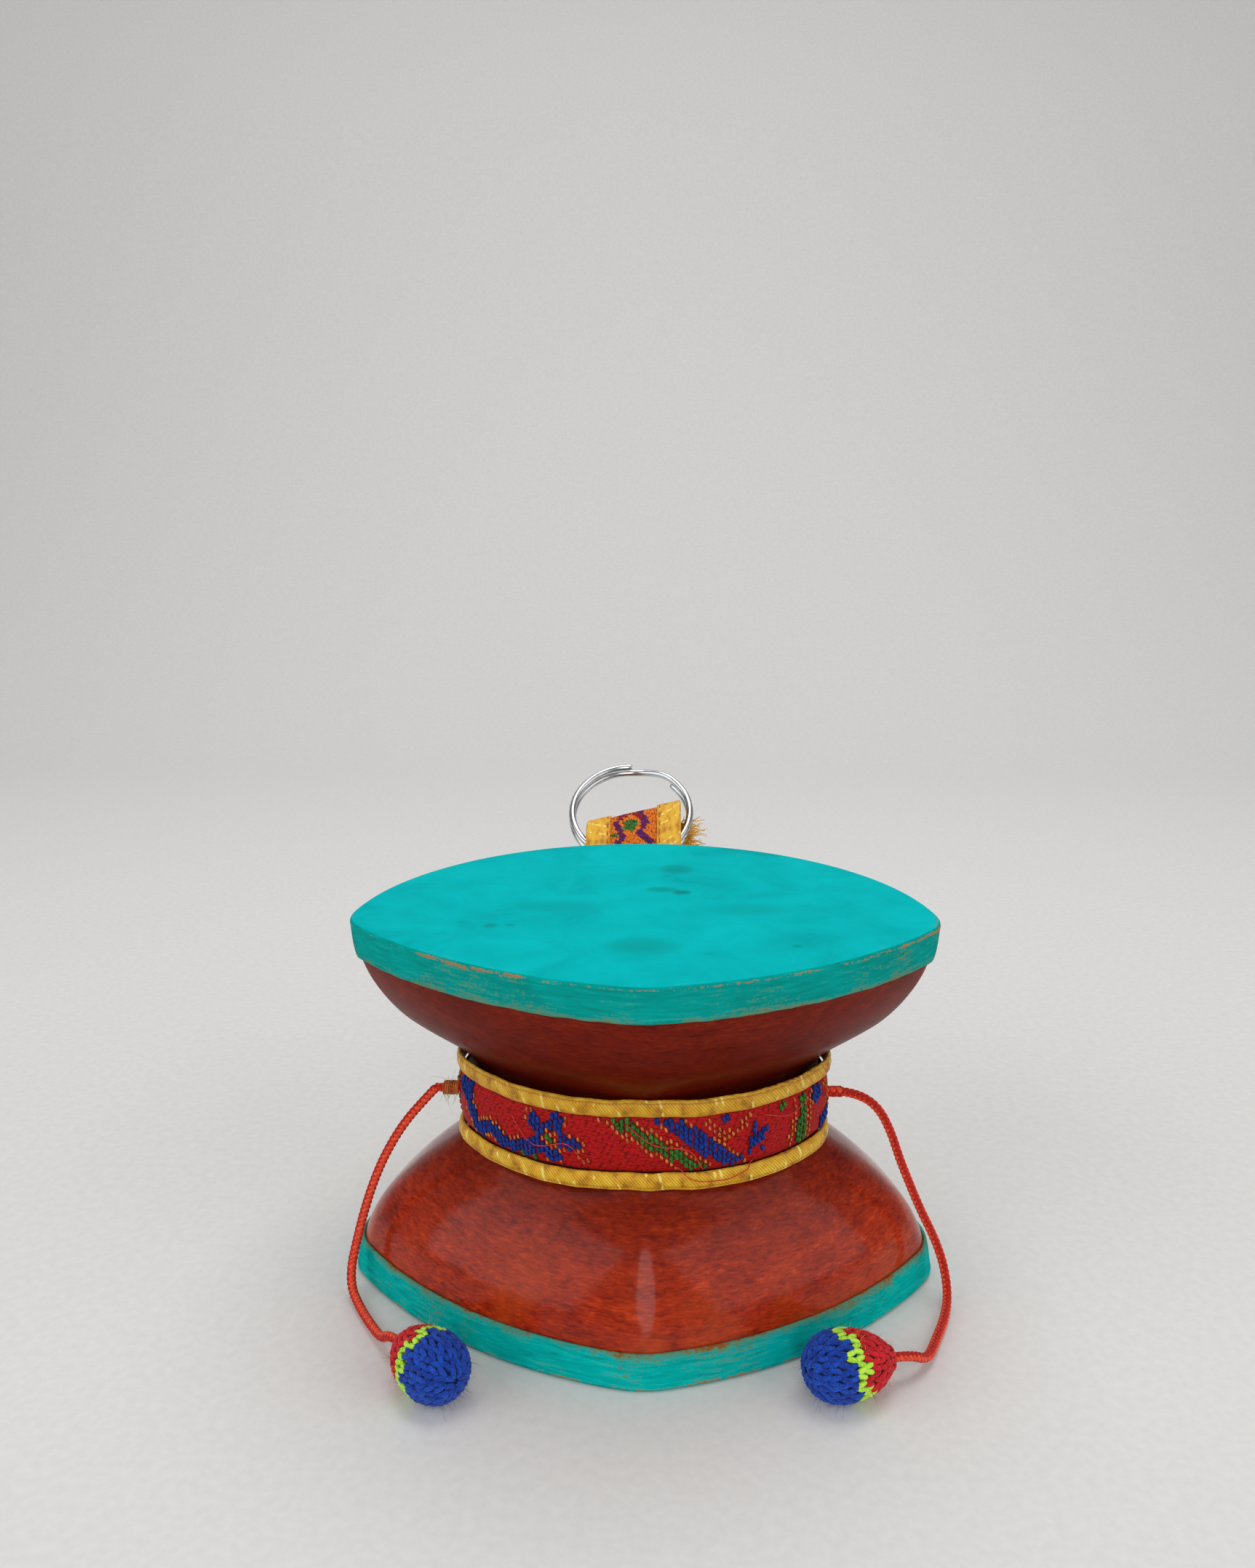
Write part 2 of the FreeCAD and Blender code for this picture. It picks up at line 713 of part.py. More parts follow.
def ring_tangent(angle):
    """Direction of the wire on a flat turn."""
    along = Vector(strap_direction).multiply(-math.sin(angle))
    return along.add(Vector(math.cos(angle), 0, 0))


def crossing(start_angle, end_angle):
    """Biarc that carries the wire from one flat turn to the other."""
    start = ring_point(start_angle, -ring_pitch / 2)
    end = ring_point(end_angle, ring_pitch / 2)
    leaving = ring_tangent(start_angle)
    arriving = ring_tangent(end_angle)
    chord = end.sub(start)
    both = leaving.add(arriving)
    spread = 2 * (1 - leaving.dot(arriving))
    reach = (-chord.dot(both) + math.sqrt(chord.dot(both) ** 2 + spread * chord.dot(chord))) / spread
    middle = start.add(end).add(Vector(leaving).sub(arriving).multiply(reach)).multiply(1 / 2)
    return [tangent_arc(start, leaving, middle), tangent_arc(end, Vector(arriving).multiply(-1), middle)]


def flat_turn(start_angle, end_angle, offset):
    """Two arcs of a turn that lies flat in the ring's plane."""
    middle = (start_angle + end_angle) / 2
    edges = []
    for low, high in ((start_angle, middle), (middle, end_angle)):
        places = [ring_point(angle, offset) for angle in (low, (low + high) / 2, high)]
        edges.append(arc(*places))
    return edges


def ring_self_gap(path):
    """Least gap between the two turns, measured on points of the wire's middle line."""
    samples = 160
    points = path.discretize(samples)
    turn = 2 * math.pi * ring_radius
    least = ring_outer_diameter
    for first in range(samples):
        for second in range(first + 1, samples):
            apart = (second - first) * path.Length / (samples - 1)
            if apart > turn / 4:
                least = min(least, points[first].distanceToPoint(points[second]))
    return least - ring_wire_diameter


def split_ring():
    """Two turns of round steel wire: a flat turn, the crossing and the other flat turn."""
    crossing_middle = math.radians(ring_crossing_place)
    half = math.radians(ring_crossing_angle) / 2
    full = 2 * math.pi
    first = flat_turn(crossing_middle + half - full, crossing_middle - half, -ring_pitch / 2)
    second = flat_turn(crossing_middle + half, crossing_middle - half + full, ring_pitch / 2)
    between = crossing(crossing_middle - half, crossing_middle + half)
    path = Part.Wire(Part.__sortEdges__(first + between + second))
    print("split ring least gap between turns", round(ring_self_gap(path), 2))
    first_angle = crossing_middle + half - full
    start = ring_point(first_angle, -ring_pitch / 2)
    return sweep(path, start, ring_tangent(first_angle), ring_wire_diameter / 2, ring_sides)


def build():
    """All pieces of the drum by name."""
    pieces = {
        "lower_shell": shell(lower_bowl),
        "upper_shell": shell(upper_bowl),
        "waist_peg": waist_peg(),
        "lower_head": head(lower_bowl),
        "upper_head": head(upper_bowl),
        "waist_cord": waist_cord(),
        "belt_padding": belt_padding(),
        "belt_brocade": belt_brocade(),
        "belt_lower_binding": binding(-1),
        "belt_upper_binding": binding(1),
        "left_cord_root": cord_root(-1),
        "right_cord_root": cord_root(1),
        "left_cord_whipping": left_whipping(),
        "strap_tab": strap_tab(),
        "strap_brocade": strap_brocade(),
        "strap_left_tape": edge_tape(-1),
        "strap_right_tape": edge_tape(1),
        "strap_frayed_threads": strap_fray(),
        "split_ring": split_ring(),
    }
    left_placement = beater_frame(-left_tip_side_distance, left_tip_front_distance, left_beater_turn)
    right_placement = beater_frame(right_tip_side_distance, right_tip_front_distance, right_beater_turn)
    pieces.update(beater_pieces("left", left_placement))
    pieces.update(beater_pieces("right", right_placement))
    pieces["left_cord"] = free_cord("left_cord", -1, left_cord_route, left_placement)
    pieces["right_cord"] = free_cord("right_cord", 1, right_cord_route, right_placement)
    return pieces


os.makedirs(parts_folder, exist_ok=True)
for node, piece in build().items():
    piece.exportStep(parts_folder + "/" + node + ".step")
    box = piece.optimalBoundingBox(False)
    print(node, "solids", len(piece.Solids), "valid", piece.isValid(), "volume", round(piece.Volume, 2),
          "z", round(box.ZMin, 2), round(box.ZMax, 2))
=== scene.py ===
"""Studio scene of a damaru, the two-headed hand drum: lacquered bowls, painted skins, a brocade
belt, two corded beaters with crocheted covers, and a brocade strap that carries a split ring.
Lengths are in metres in Blender. Sizes written in millimetres are turned to metres by MM."""

import logging
import math
from dataclasses import dataclass
from enum import Enum

import bpy
import numpy as np
from mathutils import Matrix


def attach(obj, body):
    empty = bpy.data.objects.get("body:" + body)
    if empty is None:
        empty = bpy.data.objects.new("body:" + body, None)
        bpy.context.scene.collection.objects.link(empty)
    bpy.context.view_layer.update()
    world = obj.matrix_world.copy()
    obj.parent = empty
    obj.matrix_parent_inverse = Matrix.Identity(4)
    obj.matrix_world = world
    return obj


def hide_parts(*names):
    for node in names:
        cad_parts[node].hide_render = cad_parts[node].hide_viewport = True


Array = np.ndarray
MM = 0.001
log = logging.getLogger("damaru")

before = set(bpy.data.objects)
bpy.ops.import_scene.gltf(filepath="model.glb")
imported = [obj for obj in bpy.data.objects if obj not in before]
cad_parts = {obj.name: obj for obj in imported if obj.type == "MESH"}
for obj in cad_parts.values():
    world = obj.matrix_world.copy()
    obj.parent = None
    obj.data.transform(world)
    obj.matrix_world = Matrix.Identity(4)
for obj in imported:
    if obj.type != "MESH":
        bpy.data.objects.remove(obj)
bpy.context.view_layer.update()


# Numbers and surfaces


def unit(vectors: Array) -> Array:
    """Vectors scaled to length one."""
    return vectors / np.maximum(np.linalg.norm(vectors, axis=-1, keepdims=True), 1e-12)


def smooth(low: float, high: float, value: Array) -> Array:
    """Share from 0 to 1 of the way between two values, with soft ends."""
    share = np.clip((value - low) / (high - low), 0, 1)
    return share * share * (3 - 2 * share)


def scatter(seed: int, *shape: int) -> Array:
    """Seeded random numbers from -1 to 1."""
    return np.random.default_rng(seed).uniform(-1, 1, shape)


def waves(values: Array, seed: int, low: float, high: float, count: int = 7) -> Array:
    """Smooth uneven curve from -1 to 1: a sum of sines.

    Args:
        values: places, as shares of one closed round.
        seed: picks the phases.
        low: fewest waves in a round.
        high: most waves in a round.
        count: number of sines.

    Returns:
        One height per place, which closes on itself after a round.
    """
    numbers = np.round(np.linspace(low, high, count))
    phases = math.pi * scatter(seed, count)
    terms = np.sin(2 * math.pi * values[..., None] * numbers + phases)
    return terms.sum(-1) / count * 1.6


def angles(count: int) -> Array:
    """Even angles round one turn."""
    return 2 * math.pi * np.arange(count) / count


def boxed(value: Array, power: float) -> Array:
    """A sine or cosine drawn out towards 1 and -1, which makes a round section squarer."""
    return np.sign(value) * np.abs(value) ** power


def at_height(plan: Array, z: Array | float) -> Array:
    """Points of a plan at a height, one for all or one per point."""
    return np.concatenate([plan, np.broadcast_to(z, plan.shape[:-1])[..., None]], -1)


def shrunk(ring: Array, *shares: float) -> Array:
    """Smaller copies of a level ring about the Z axis."""
    return np.concatenate([ring * (share, share, 1.0) for share in shares])


def steps(line: Array) -> Array:
    """Distance from each point of a line to the next."""
    return np.linalg.norm(np.diff(line, axis=0), axis=1)


def distances(line: Array) -> Array:
    """Distance of each point of a line from its start, measured along it."""
    return np.concatenate([[0], np.cumsum(steps(line))])


def even_line(line: Array, step: float) -> Array:
    """The same line with points an even step apart."""
    along = distances(line)
    wanted = np.linspace(0, along[-1], max(int(along[-1] / step), 8))
    return np.stack([np.interp(wanted, along, axis) for axis in line.T], -1)


def curve_through(places: Array, table: tuple[tuple[float, float], ...]) -> Array:
    """Smooth curve through a few points, by cubic pieces whose slopes are averaged at the joins.

    Args:
        places: where the curve is read.
        table: pairs of place and value, in order.

    Returns:
        One value per place.
    """
    xs, ys = np.array(table).T
    step = np.diff(ys) / np.diff(xs)
    slope = np.concatenate([step[:1], (step[1:] + step[:-1]) / 2, step[-1:]])
    index = np.clip(np.searchsorted(xs, places, side="right") - 1, 0, len(xs) - 2)
    width = np.diff(xs)[index]
    t = (places - xs[index]) / width
    first = (1 + 2 * t) * (1 - t) ** 2 * ys[index] + t * (1 - t) ** 2 * width * slope[index]
    second = t * t * (3 - 2 * t) * ys[index + 1] + t * t * (t - 1) * width * slope[index + 1]
    return first + second


def frames(path: Array, reference: Array | None = None) -> tuple[Array, Array, Array]:
    """Directions along a path that never twist.

    Args:
        path: points of shape (..., N, 3).
        reference: a direction that the path doesn't run along.

    Returns:
        The tangent and two normals at each point. The normals start square to the reference and
        are turned back by the twist summed up so far.
    """
    tangent = unit(np.gradient(path, axis=-2))
    if reference is None:
        reference = np.linalg.svd(tangent.reshape(-1, 3), full_matrices=False)[2][-1]
    first = unit(np.cross(tangent, reference))
    second = np.cross(tangent, first)
    before, after = first[..., :-1, :], first[..., 1:, :]
    sine = (np.cross(before, after) * tangent[..., 1:, :]).sum(-1)
    step = np.arctan2(sine, (before * after).sum(-1))
    turn = -np.concatenate([np.zeros_like(step[..., :1]), np.cumsum(step, -1)], -1)[..., None]
    side = np.cos(turn) * first + np.sin(turn) * second
    return tangent, side, np.cross(tangent, side)


def round_table(rows: int, columns: int, closed_rows: bool = False) -> Array:
    """Four-sided faces of a grid whose columns close on themselves.

    Args:
        rows: number of rows.
        columns: number of places in a row.
        closed_rows: True where the last row joins the first too.

    Returns:
        Numbers of the grid's points, four to a face.
    """
    row_count = rows if closed_rows else rows - 1
    i, j = np.meshgrid(np.arange(row_count), np.arange(columns), indexing="ij")
    i, j = i.ravel(), j.ravel()
    down, across = (i + 1) % rows, (j + 1) % columns
    return np.stack([i * columns + j, i * columns + across, down * columns + across,
                     down * columns + j], -1)


ATTRIBUTE_KINDS = {1: ("FLOAT", "value"), 3: ("FLOAT_VECTOR", "vector"), 4: ("FLOAT_COLOR", "color")}


@dataclass
class Surface:
    """Points in millimetres with their faces, and values kept at the points."""

    points: Array
    faces: list[Array]
    values: dict[str, Array]

    @staticmethod
    def closed(grid: Array, values: dict[str, Array] | None = None) -> "Surface":
        """Surface of rings, the first and last of which close in on a middle point.

        Args:
            grid: points of shape (rings, places, 3), each ring in order round the shape.
            values: numbers or vectors of shape (rings, places, ...).

        Returns:
            The rings' walls with a fan of triangles at either end.
        """
        rings, places = grid.shape[:2]
        points = np.concatenate([grid.reshape(-1, 3), grid[:1].mean(1), grid[-1:].mean(1)])
        j = np.arange(places)
        after = (j + 1) % places
        last = (rings - 1) * places
        first_fan = np.stack([np.full(places, rings * places), after, j], -1)
        last_fan = np.stack([np.full(places, rings * places + 1), last + j, last + after], -1)
        kept = {}
        for name, field in (values or {}).items():
            flat = field.reshape(rings * places, *field.shape[2:])
            kept[name] = np.concatenate([flat, field[:1].mean(1), field[-1:].mean(1)])
        return Surface(points, [round_table(rings, places), first_fan, last_fan], kept)

    @staticmethod
    def torus(grid: Array, values: dict[str, Array] | None = None) -> "Surface":
        """Surface of rings that closes both ways, as round a belt.

        Args:
            grid: points of shape (rings, places, 3).
            values: numbers or vectors of shape (rings, places, ...).
        """
        rings, places = grid.shape[:2]
        kept = {name: field.reshape(rings * places, *field.shape[2:])
                for name, field in (values or {}).items()}
        return Surface(grid.reshape(-1, 3), [round_table(rings, places, True)], kept)

    @staticmethod
    def strands(path: Array, up: Array, half_up: Array | float, half_side: Array | float,
                sides: int = 6, values: dict[str, Array] | None = None) -> "Surface":
        """Many closed strands of an oval section.

        Args:
            path: middle lines, of shape (strands, points, 3).
            up: direction of the section's first half width at each point.
            half_up: half width along up, a number or one per point.
            half_side: half width across it.
            sides: corners of the section.
            values: numbers of shape (strands, points), kept at the section's corners.

        Returns:
            The strands, each with a face at either end.
        """
        count, length = path.shape[:2]
        tangent = unit(np.gradient(path, axis=1))
        side = unit(np.cross(tangent, up))
        rise = np.cross(side, tangent)
        angle = angles(sides)
        high = np.broadcast_to(np.asarray(half_up, float), (count, length))[..., None, None]
        wide = np.broadcast_to(np.asarray(half_side, float), (count, length))[..., None, None]
        round_part = np.cos(angle)[:, None] * high * rise[..., None, :]
        grid = path[..., None, :] + round_part + np.sin(angle)[:, None] * wide * side[..., None, :]
        base = np.arange(count) * length * sides
        walls = (round_table(length, sides)[None] + base[:, None, None]).reshape(-1, 4)
        ends = np.arange(sides)
        first_caps = base[:, None] + ends[::-1]
        last_caps = base[:, None] + (length - 1) * sides + ends
        kept = {name: np.repeat(np.asarray(field, float).reshape(-1), sides)
                for name, field in (values or {}).items()}
        kept["across"] = np.tile(np.cos(angle), count * length)
        return Surface(grid.reshape(-1, 3), [walls, first_caps, last_caps], kept)

    def joined(self, other: "Surface") -> "Surface":
        """Both surfaces as one, with the values that both of them have."""
        shift = len(self.points)
        names = set(self.values) & set(other.values)
        values = {name: np.concatenate([self.values[name], other.values[name]]) for name in names}
        return Surface(np.concatenate([self.points, other.points]),
                       self.faces + [part + shift for part in other.faces], values)

    def made(self, name: str, material: bpy.types.Material) -> bpy.types.Object:
        """Blender object of this surface, in metres, with outward faces.

        Faces are turned when the volume summed over their triangles comes out below nothing.

        Args:
            name: name of the object and its mesh.
            material: the only material.

        Returns:
            The object, linked to the scene.
        """
        points = self.points * MM
        loops = np.concatenate([part.ravel() for part in self.faces])
        totals = np.concatenate([np.full(len(part), part.shape[1]) for part in self.faces])
        starts = np.concatenate([[0], np.cumsum(totals)[:-1]])
        corners = points[loops]
        following = np.arange(len(loops)) + 1
        following[starts + totals - 1] = starts
        first_corners = corners[starts].repeat(totals, 0)
        volume = (corners * np.cross(corners[following], first_corners)).sum()
        mesh = bpy.data.meshes.new(name)
        mesh.vertices.add(len(points))
        mesh.vertices.foreach_set("co", points.astype(np.float32).ravel())
        mesh.loops.add(len(loops))
        mesh.loops.foreach_set("vertex_index", loops.astype(np.int32))
        mesh.polygons.add(len(totals))
        mesh.polygons.foreach_set("loop_start", starts.astype(np.int32))
        mesh.update(calc_edges=True)
        for label, field in self.values.items():
            flat = field.reshape(len(points), -1)
            kind, key = ATTRIBUTE_KINDS[flat.shape[1]]
            store = mesh.attributes.new(label, kind, "POINT")
            store.data.foreach_set(key, flat.astype(np.float32).ravel())
        if volume < 0:
            mesh.flip_normals()
        mesh.polygons.foreach_set("use_smooth", np.ones(len(totals), bool))
        mesh.validate()
        mesh.materials.append(material)
        thing = bpy.data.objects.new(name, mesh)
        bpy.context.scene.collection.objects.link(thing)
        log.info("%s: %d faces", name, len(totals))
        return thing


# Plan outlines


def arc_points(first: Array, middle: Array, last: Array, count: int) -> Array:
    """Points along the circular arc through three points in the plan, without the last.

    The plan is taken as the complex plane. With w = (c - a) / (b - a) for the points a, b and c,
    the centre is a + (b - a) (w - |w|^2) / (2i Im w).

    Args:
        first: where the arc starts.
        middle: a point that it passes.
        last: where it ends.
        count: number of points.

    Returns:
        Points of shape (count, 2).
    """
    a, b, c = (complex(*point) for point in (first, middle, last))
    w = (c - a) / (b - a)
    centre = (b - a) * (w - abs(w) ** 2) / (2j * w.imag) + a
    start = np.angle(a - centre)
    turn = (np.angle(c - centre) - start) % (2 * math.pi)
    over = (np.angle(b - centre) - start) % (2 * math.pi)
    turn = turn if over < turn else turn - 2 * math.pi
    angle = start + turn * np.arange(count) / count
    spots = centre + abs(a - centre) * np.exp(1j * angle)
    return np.stack([spots.real, spots.imag], -1)


@dataclass(frozen=True)
class Plan:
    """Plan outline of the drum: a front of two flanks, side corners and a round back.

    nose, flank and corner are places on the front as shares of half width and front depth.
    back_corner is the place, as shares of half width and back depth, where the back arc starts.
    """

    nose: tuple[float, float]
    flank: tuple[float, float]
    corner: tuple[float, float]
    back_corner: tuple[float, float] = (0.992, 0.10)

    def points(self, sizes: tuple[float, float, float], count: int) -> Array:
        """Evenly spaced points round the outline, from the front middle towards +X.

        The right half is a nose arc, a flank arc, a corner arc that leaves the back arc along its
        tangent, and the back arc. The left half mirrors it.

        Args:
            sizes: half width, front depth and back depth.
            count: number of points.

        Returns:
            Points of shape (count, 2).
        """
        half_width, front, back = sizes
        nose, flank, corner = (np.array([across * half_width, -ahead * front])
                               for across, ahead in (self.nose, self.flank, self.corner))
        start = np.array([self.back_corner[0] * half_width, self.back_corner[1] * back])
        rise = back - start[1]
        radius = (start[0] ** 2 + rise ** 2) / (2 * rise)
        outward = start - np.array([0, back - radius])
        tangent = np.array([outward[1], -outward[0]]) / radius
        chord = corner - start
        across = chord - chord @ tangent * tangent
        depth = float(np.linalg.norm(across))
        turn_radius = (chord @ chord) / (2 * depth)
        centre = start + across / depth * turn_radius
        half = (start + corner) / 2 - centre
        middle = centre + half / np.linalg.norm(half) * turn_radius
        mirror = np.array([-1, 1])
        tip = arc_points(nose * mirror, np.array([0.0, -front]), nose, 400)
        round_back = arc_points(start, np.array([0.0, back]), start * mirror, 3200)
        right = np.concatenate([tip[200:], arc_points(nose, flank, corner, 900),
                                arc_points(corner, middle, start, 200), round_back[:1600],
                                np.array([[0.0, back]])])
        whole = np.concatenate([right, right[-2:0:-1] * mirror, right[:1]])
        along = distances(whole)
        wanted = along[-1] * np.arange(count) / count
        return np.stack([np.interp(wanted, along, axis) for axis in whole.T], -1)


BOWL_PLAN = Plan((0.06, 0.9915), (0.50, 0.72), (0.965, 0.06))
BELT_PLAN = Plan((0.25, 0.975), (0.62, 0.735), (0.955, 0.15))


def ring_normals(ring: Array) -> Array:
    """Outward normals in the plan at the points of a closed outline."""
    along = np.roll(ring, -1, 0) - np.roll(ring, 1, 0)
    return unit(np.stack([along[:, 1], -along[:, 0]], -1))


def ring_length(ring: Array) -> float:
    """Length round a closed outline."""
    return float(np.linalg.norm(np.roll(ring, -1, 0) - ring, axis=1).sum())


# Finishes


def linear(code: str) -> tuple[float, float, float, float]:
    """Linear colour of an sRGB hex code such as #A03020.

    A channel c becomes c / 12.92 up to 0.04045, and ((c + 0.055) / 1.055) ^ 2.4 above it.
    """
    parts = np.array([int(code[i:i + 2], 16) for i in (1, 3, 5)]) / 255
    low = parts / 12.92
    high = ((parts + 0.055) / 1.055) ** 2.4
    return (*np.where(parts <= 0.04045, low, high).tolist(), 1.0)


def add(tree: bpy.types.NodeTree, kind: str, inputs: dict | None = None, out: int | str = 0,
        **settings) -> bpy.types.NodeSocket:
    """Adds one node with its settings and links.

    Args:
        tree: the material's node tree.
        kind: the node's type, without its ShaderNode prefix.
        inputs: values or output sockets by input name or number.
        out: name or number of the output that is used.
        settings: the node's own properties. stops is a list of places and colours of a ramp.

    Returns:
        The output socket.
    """
    made = tree.nodes.new("ShaderNode" + kind)
    for place, (where, colour) in enumerate(settings.pop("stops", [])):
        elements = made.color_ramp.elements
        element = elements[place] if place < 2 else elements.new(where)
        element.position = where
        element.color = linear(colour) if isinstance(colour, str) else (colour, colour, colour, 1)
    for name, value in settings.items():
        setattr(made, name, value)
    for key, value in (inputs or {}).items():
        if isinstance(value, bpy.types.NodeSocket):
            tree.links.new(value, made.inputs[key])
        else:
            made.inputs[key].default_value = value
    return made.outputs[out]


Sockets = dict[str, bpy.types.NodeSocket]


@dataclass(frozen=True)
class Finish:
    """A material of the drum: its constant shader values, and a method that paints the rest."""

    name: str
    roughness: float = 0.5
    metallic: float = 0.0
    sheen: float = 0.0
    coat_roughness: float = 0.1
    coat_ior: float = 1.5
    specular: float = 0.5

    def paint(self, tree: bpy.types.NodeTree) -> Sockets:
        """Adds the nodes that colour the finish.

        Args:
            tree: the material's node tree.

        Returns:
            Links for the shader by socket name.
        """
        raise NotImplementedError

    def material(self) -> bpy.types.Material:
        """The finish as a Blender material, made once."""
        if self.name in bpy.data.materials:
            return bpy.data.materials[self.name]
        made = bpy.data.materials.new(self.name)
        made.use_nodes = True
        tree = made.node_tree
        shader = tree.nodes["Principled BSDF"]
        for socket, value in (("Roughness", self.roughness), ("Metallic", self.metallic),
                              ("Sheen Weight", self.sheen), ("Coat Roughness", self.coat_roughness),
                              ("Coat IOR", self.coat_ior), ("Specular IOR Level", self.specular)):
            shader.inputs[socket].default_value = value
        for socket, link in self.paint(tree).items():
            tree.links.new(link, shader.inputs[socket])
        return made


@dataclass(frozen=True)
class LacqueredWood(Finish):
    """Carved hardwood under glossy red-brown lacquer: fine level grain, painted shade that darkens it
    towards the waist, and worn to orange near the skins, where hands and cords rub."""

    roughness: float = 0.45
    coat_roughness: float = 0.10
    coat_ior: float = 1.26
    specular: float = 0.08

    def paint(self, tree: bpy.types.NodeTree) -> Sockets:
        """Pores 1.8 mm long and 0.4 mm high, curls 7 mm long and 2.3 mm high, and clouds 16 mm
        across."""
        place = add(tree, "TexCoord", out="Object")
        level = add(tree, "Mapping", {"Vector": place, "Rotation": (0.05, 0.07, 0.0),
                                      "Scale": (560, 560, 2300)})
        pore = add(tree, "TexNoise", {"Vector": level, "Scale": 1.0, "Detail": 5.0,
                                      "Roughness": 0.62, "Distortion": 0.35})
        broad = add(tree, "Mapping", {"Vector": place, "Rotation": (0.0, 0.1, 0.0),
                                      "Scale": (150, 150, 430)})
        curl = add(tree, "TexNoise", {"Vector": broad, "Scale": 1.0, "Detail": 4.0,
                                      "Roughness": 0.6, "Distortion": 0.8})
        cloud = add(tree, "TexNoise", {"Vector": place, "Scale": 62.0, "Detail": 4.0,
                                       "Roughness": 0.55})
        depth = add(tree, "Attribute", attribute_name="depth", out="Fac")
        grain = add(tree, "Mix", {0: 0.42, 2: pore, 3: curl})
        shade = add(tree, "ValToRGB", {"Fac": grain}, stops=[
            (0.34, "#661302"), (0.66, "#C6430F"), (0.46, "#942305"), (0.56, "#AE2F07")])
        worn = add(tree, "ValToRGB", {"Fac": depth}, stops=[
            (0.17, 1.0), (1.0, 0.0), (0.24, 0.55), (0.42, 0.22), (0.62, 0.0)])
        patch = add(tree, "ValToRGB", {"Fac": cloud}, stops=[(0.48, 0.0), (0.72, 0.8)])
        bright = add(tree, "Math", {0: worn, 1: patch}, operation="MULTIPLY")
        lit = add(tree, "Mix", {0: bright, 6: shade, 7: linear("#C4501E")}, 2, data_type="RGBA")
        # Painted shade: darker towards the waist under the belt, and over a whole bowl in shadow.
        painted_shade = add(tree, "ValToRGB", {"Fac": depth}, stops=[(0.42, 0.0), (0.90, 0.84)])
        dark = add(tree, "Mix", {0: painted_shade, 6: lit, 7: linear("#440802")}, 2, data_type="RGBA")
        smut = add(tree, "ValToRGB", {"Fac": cloud}, stops=[(0.30, 0.5), (0.42, 0.0)])
        colour = add(tree, "Mix", {0: smut, 6: dark, 7: linear("#4E0E03")}, 2, data_type="RGBA")
        bump = add(tree, "Bump", {"Strength": 0.1, "Distance": 0.0001, "Height": pore})
        sag = add(tree, "Bump", {"Strength": 0.3, "Distance": 0.0002, "Height": curl})
        gloss = add(tree, "ValToRGB", {"Fac": depth}, stops=[(0.55, 1.0), (0.80, 0.12)])
        return {"Base Color": colour, "Normal": bump, "Coat Normal": sag, "Coat Weight": gloss}


@dataclass(frozen=True)
class PaintedSkin(Finish):
    """Stretched hide under turquoise paint: brush grain, brown wear along its edges, smudges, and
    painted shade on the band of a bowl in shadow.
    """

    roughness: float = 0.8
    specular: float = 0.02

    def paint(self, tree: bpy.types.NodeTree) -> Sockets:
        """Leather grain 0.7 mm across, brush lines along the band and wear in the millimetre next
        to each edge: greenish scuffs, bare hide at the low edge and bare hide at the top edge."""
        place = add(tree, "TexCoord", out="Object")
        long = add(tree, "Mapping", {"Vector": place, "Rotation": (0.0, 0.25, 0.0),
                                     "Scale": (110, 300, 1300)})
        grain = add(tree, "TexNoise", {"Vector": long, "Scale": 1.0, "Detail": 6.0,
                                       "Roughness": 0.62, "Distortion": 0.4})
        cloud = add(tree, "TexNoise", {"Vector": place, "Scale": 70.0, "Detail": 5.0,
                                       "Roughness": 0.6, "Distortion": 0.6})
        fine = add(tree, "TexNoise", {"Vector": place, "Scale": 1500.0, "Detail": 4.0,
                                      "Roughness": 0.65})
        face = add(tree, "Attribute", attribute_name="face", out="Fac")
        band = add(tree, "ValToRGB", {"Fac": grain}, stops=[
            (0.30, "#178A7C"), (0.74, "#18C4BA"), (0.40, "#04A39D"), (0.55, "#00B2AD")])
        top = add(tree, "ValToRGB", {"Fac": cloud}, stops=[
            (0.30, "#00A4A6"), (0.70, "#02BEC1"), (0.42, "#00B0B3"), (0.52, "#00B6B9")])
        colour = add(tree, "Mix", {0: face, 6: band, 7: top}, 2, data_type="RGBA")
        # Dark smudges on the face, and painted shade over the band of a bowl that lies in shadow.
        mark = add(tree, "Attribute", attribute_name="mark", out="Fac")
        edged = add(tree, "Math", {0: mark, 1: cloud}, operation="MULTIPLY")
        smudge_and_shade_share = add(tree, "ValToRGB", {"Fac": edged}, stops=[(0.06, 0.0), (0.62, 0.85), (0.22, 0.42)])
        colour = add(tree, "Mix", {0: smudge_and_shade_share, 6: colour, 7: linear("#0A7A6E")}, 2, data_type="RGBA")
        rough = add(tree, "Math", {0: fine, 1: grain}, operation="ADD")
        uneven = add(tree, "Math", {0: rough, 1: cloud}, operation="ADD")
        for name, tone, start, end in (("wear_low", "#5F8A6E", 1.62, 1.92),
                                       ("wear_low", "#8A5A2C", 1.98, 2.10),
                                       ("wear_top", "#A8774A", 2.00, 2.16)):
            wear = add(tree, "Attribute", attribute_name=name, out="Fac")
            both = add(tree, "Math", {0: uneven, 1: wear}, operation="ADD")
            sharp = add(tree, "MapRange", {"Value": both, "From Min": start, "From Max": end})
            colour = add(tree, "Mix", {0: sharp, 6: colour, 7: linear(tone)}, 2, data_type="RGBA")
        bump = add(tree, "Bump", {"Strength": 0.35, "Distance": 0.00012, "Height": rough})
        return {"Base Color": colour, "Normal": bump}


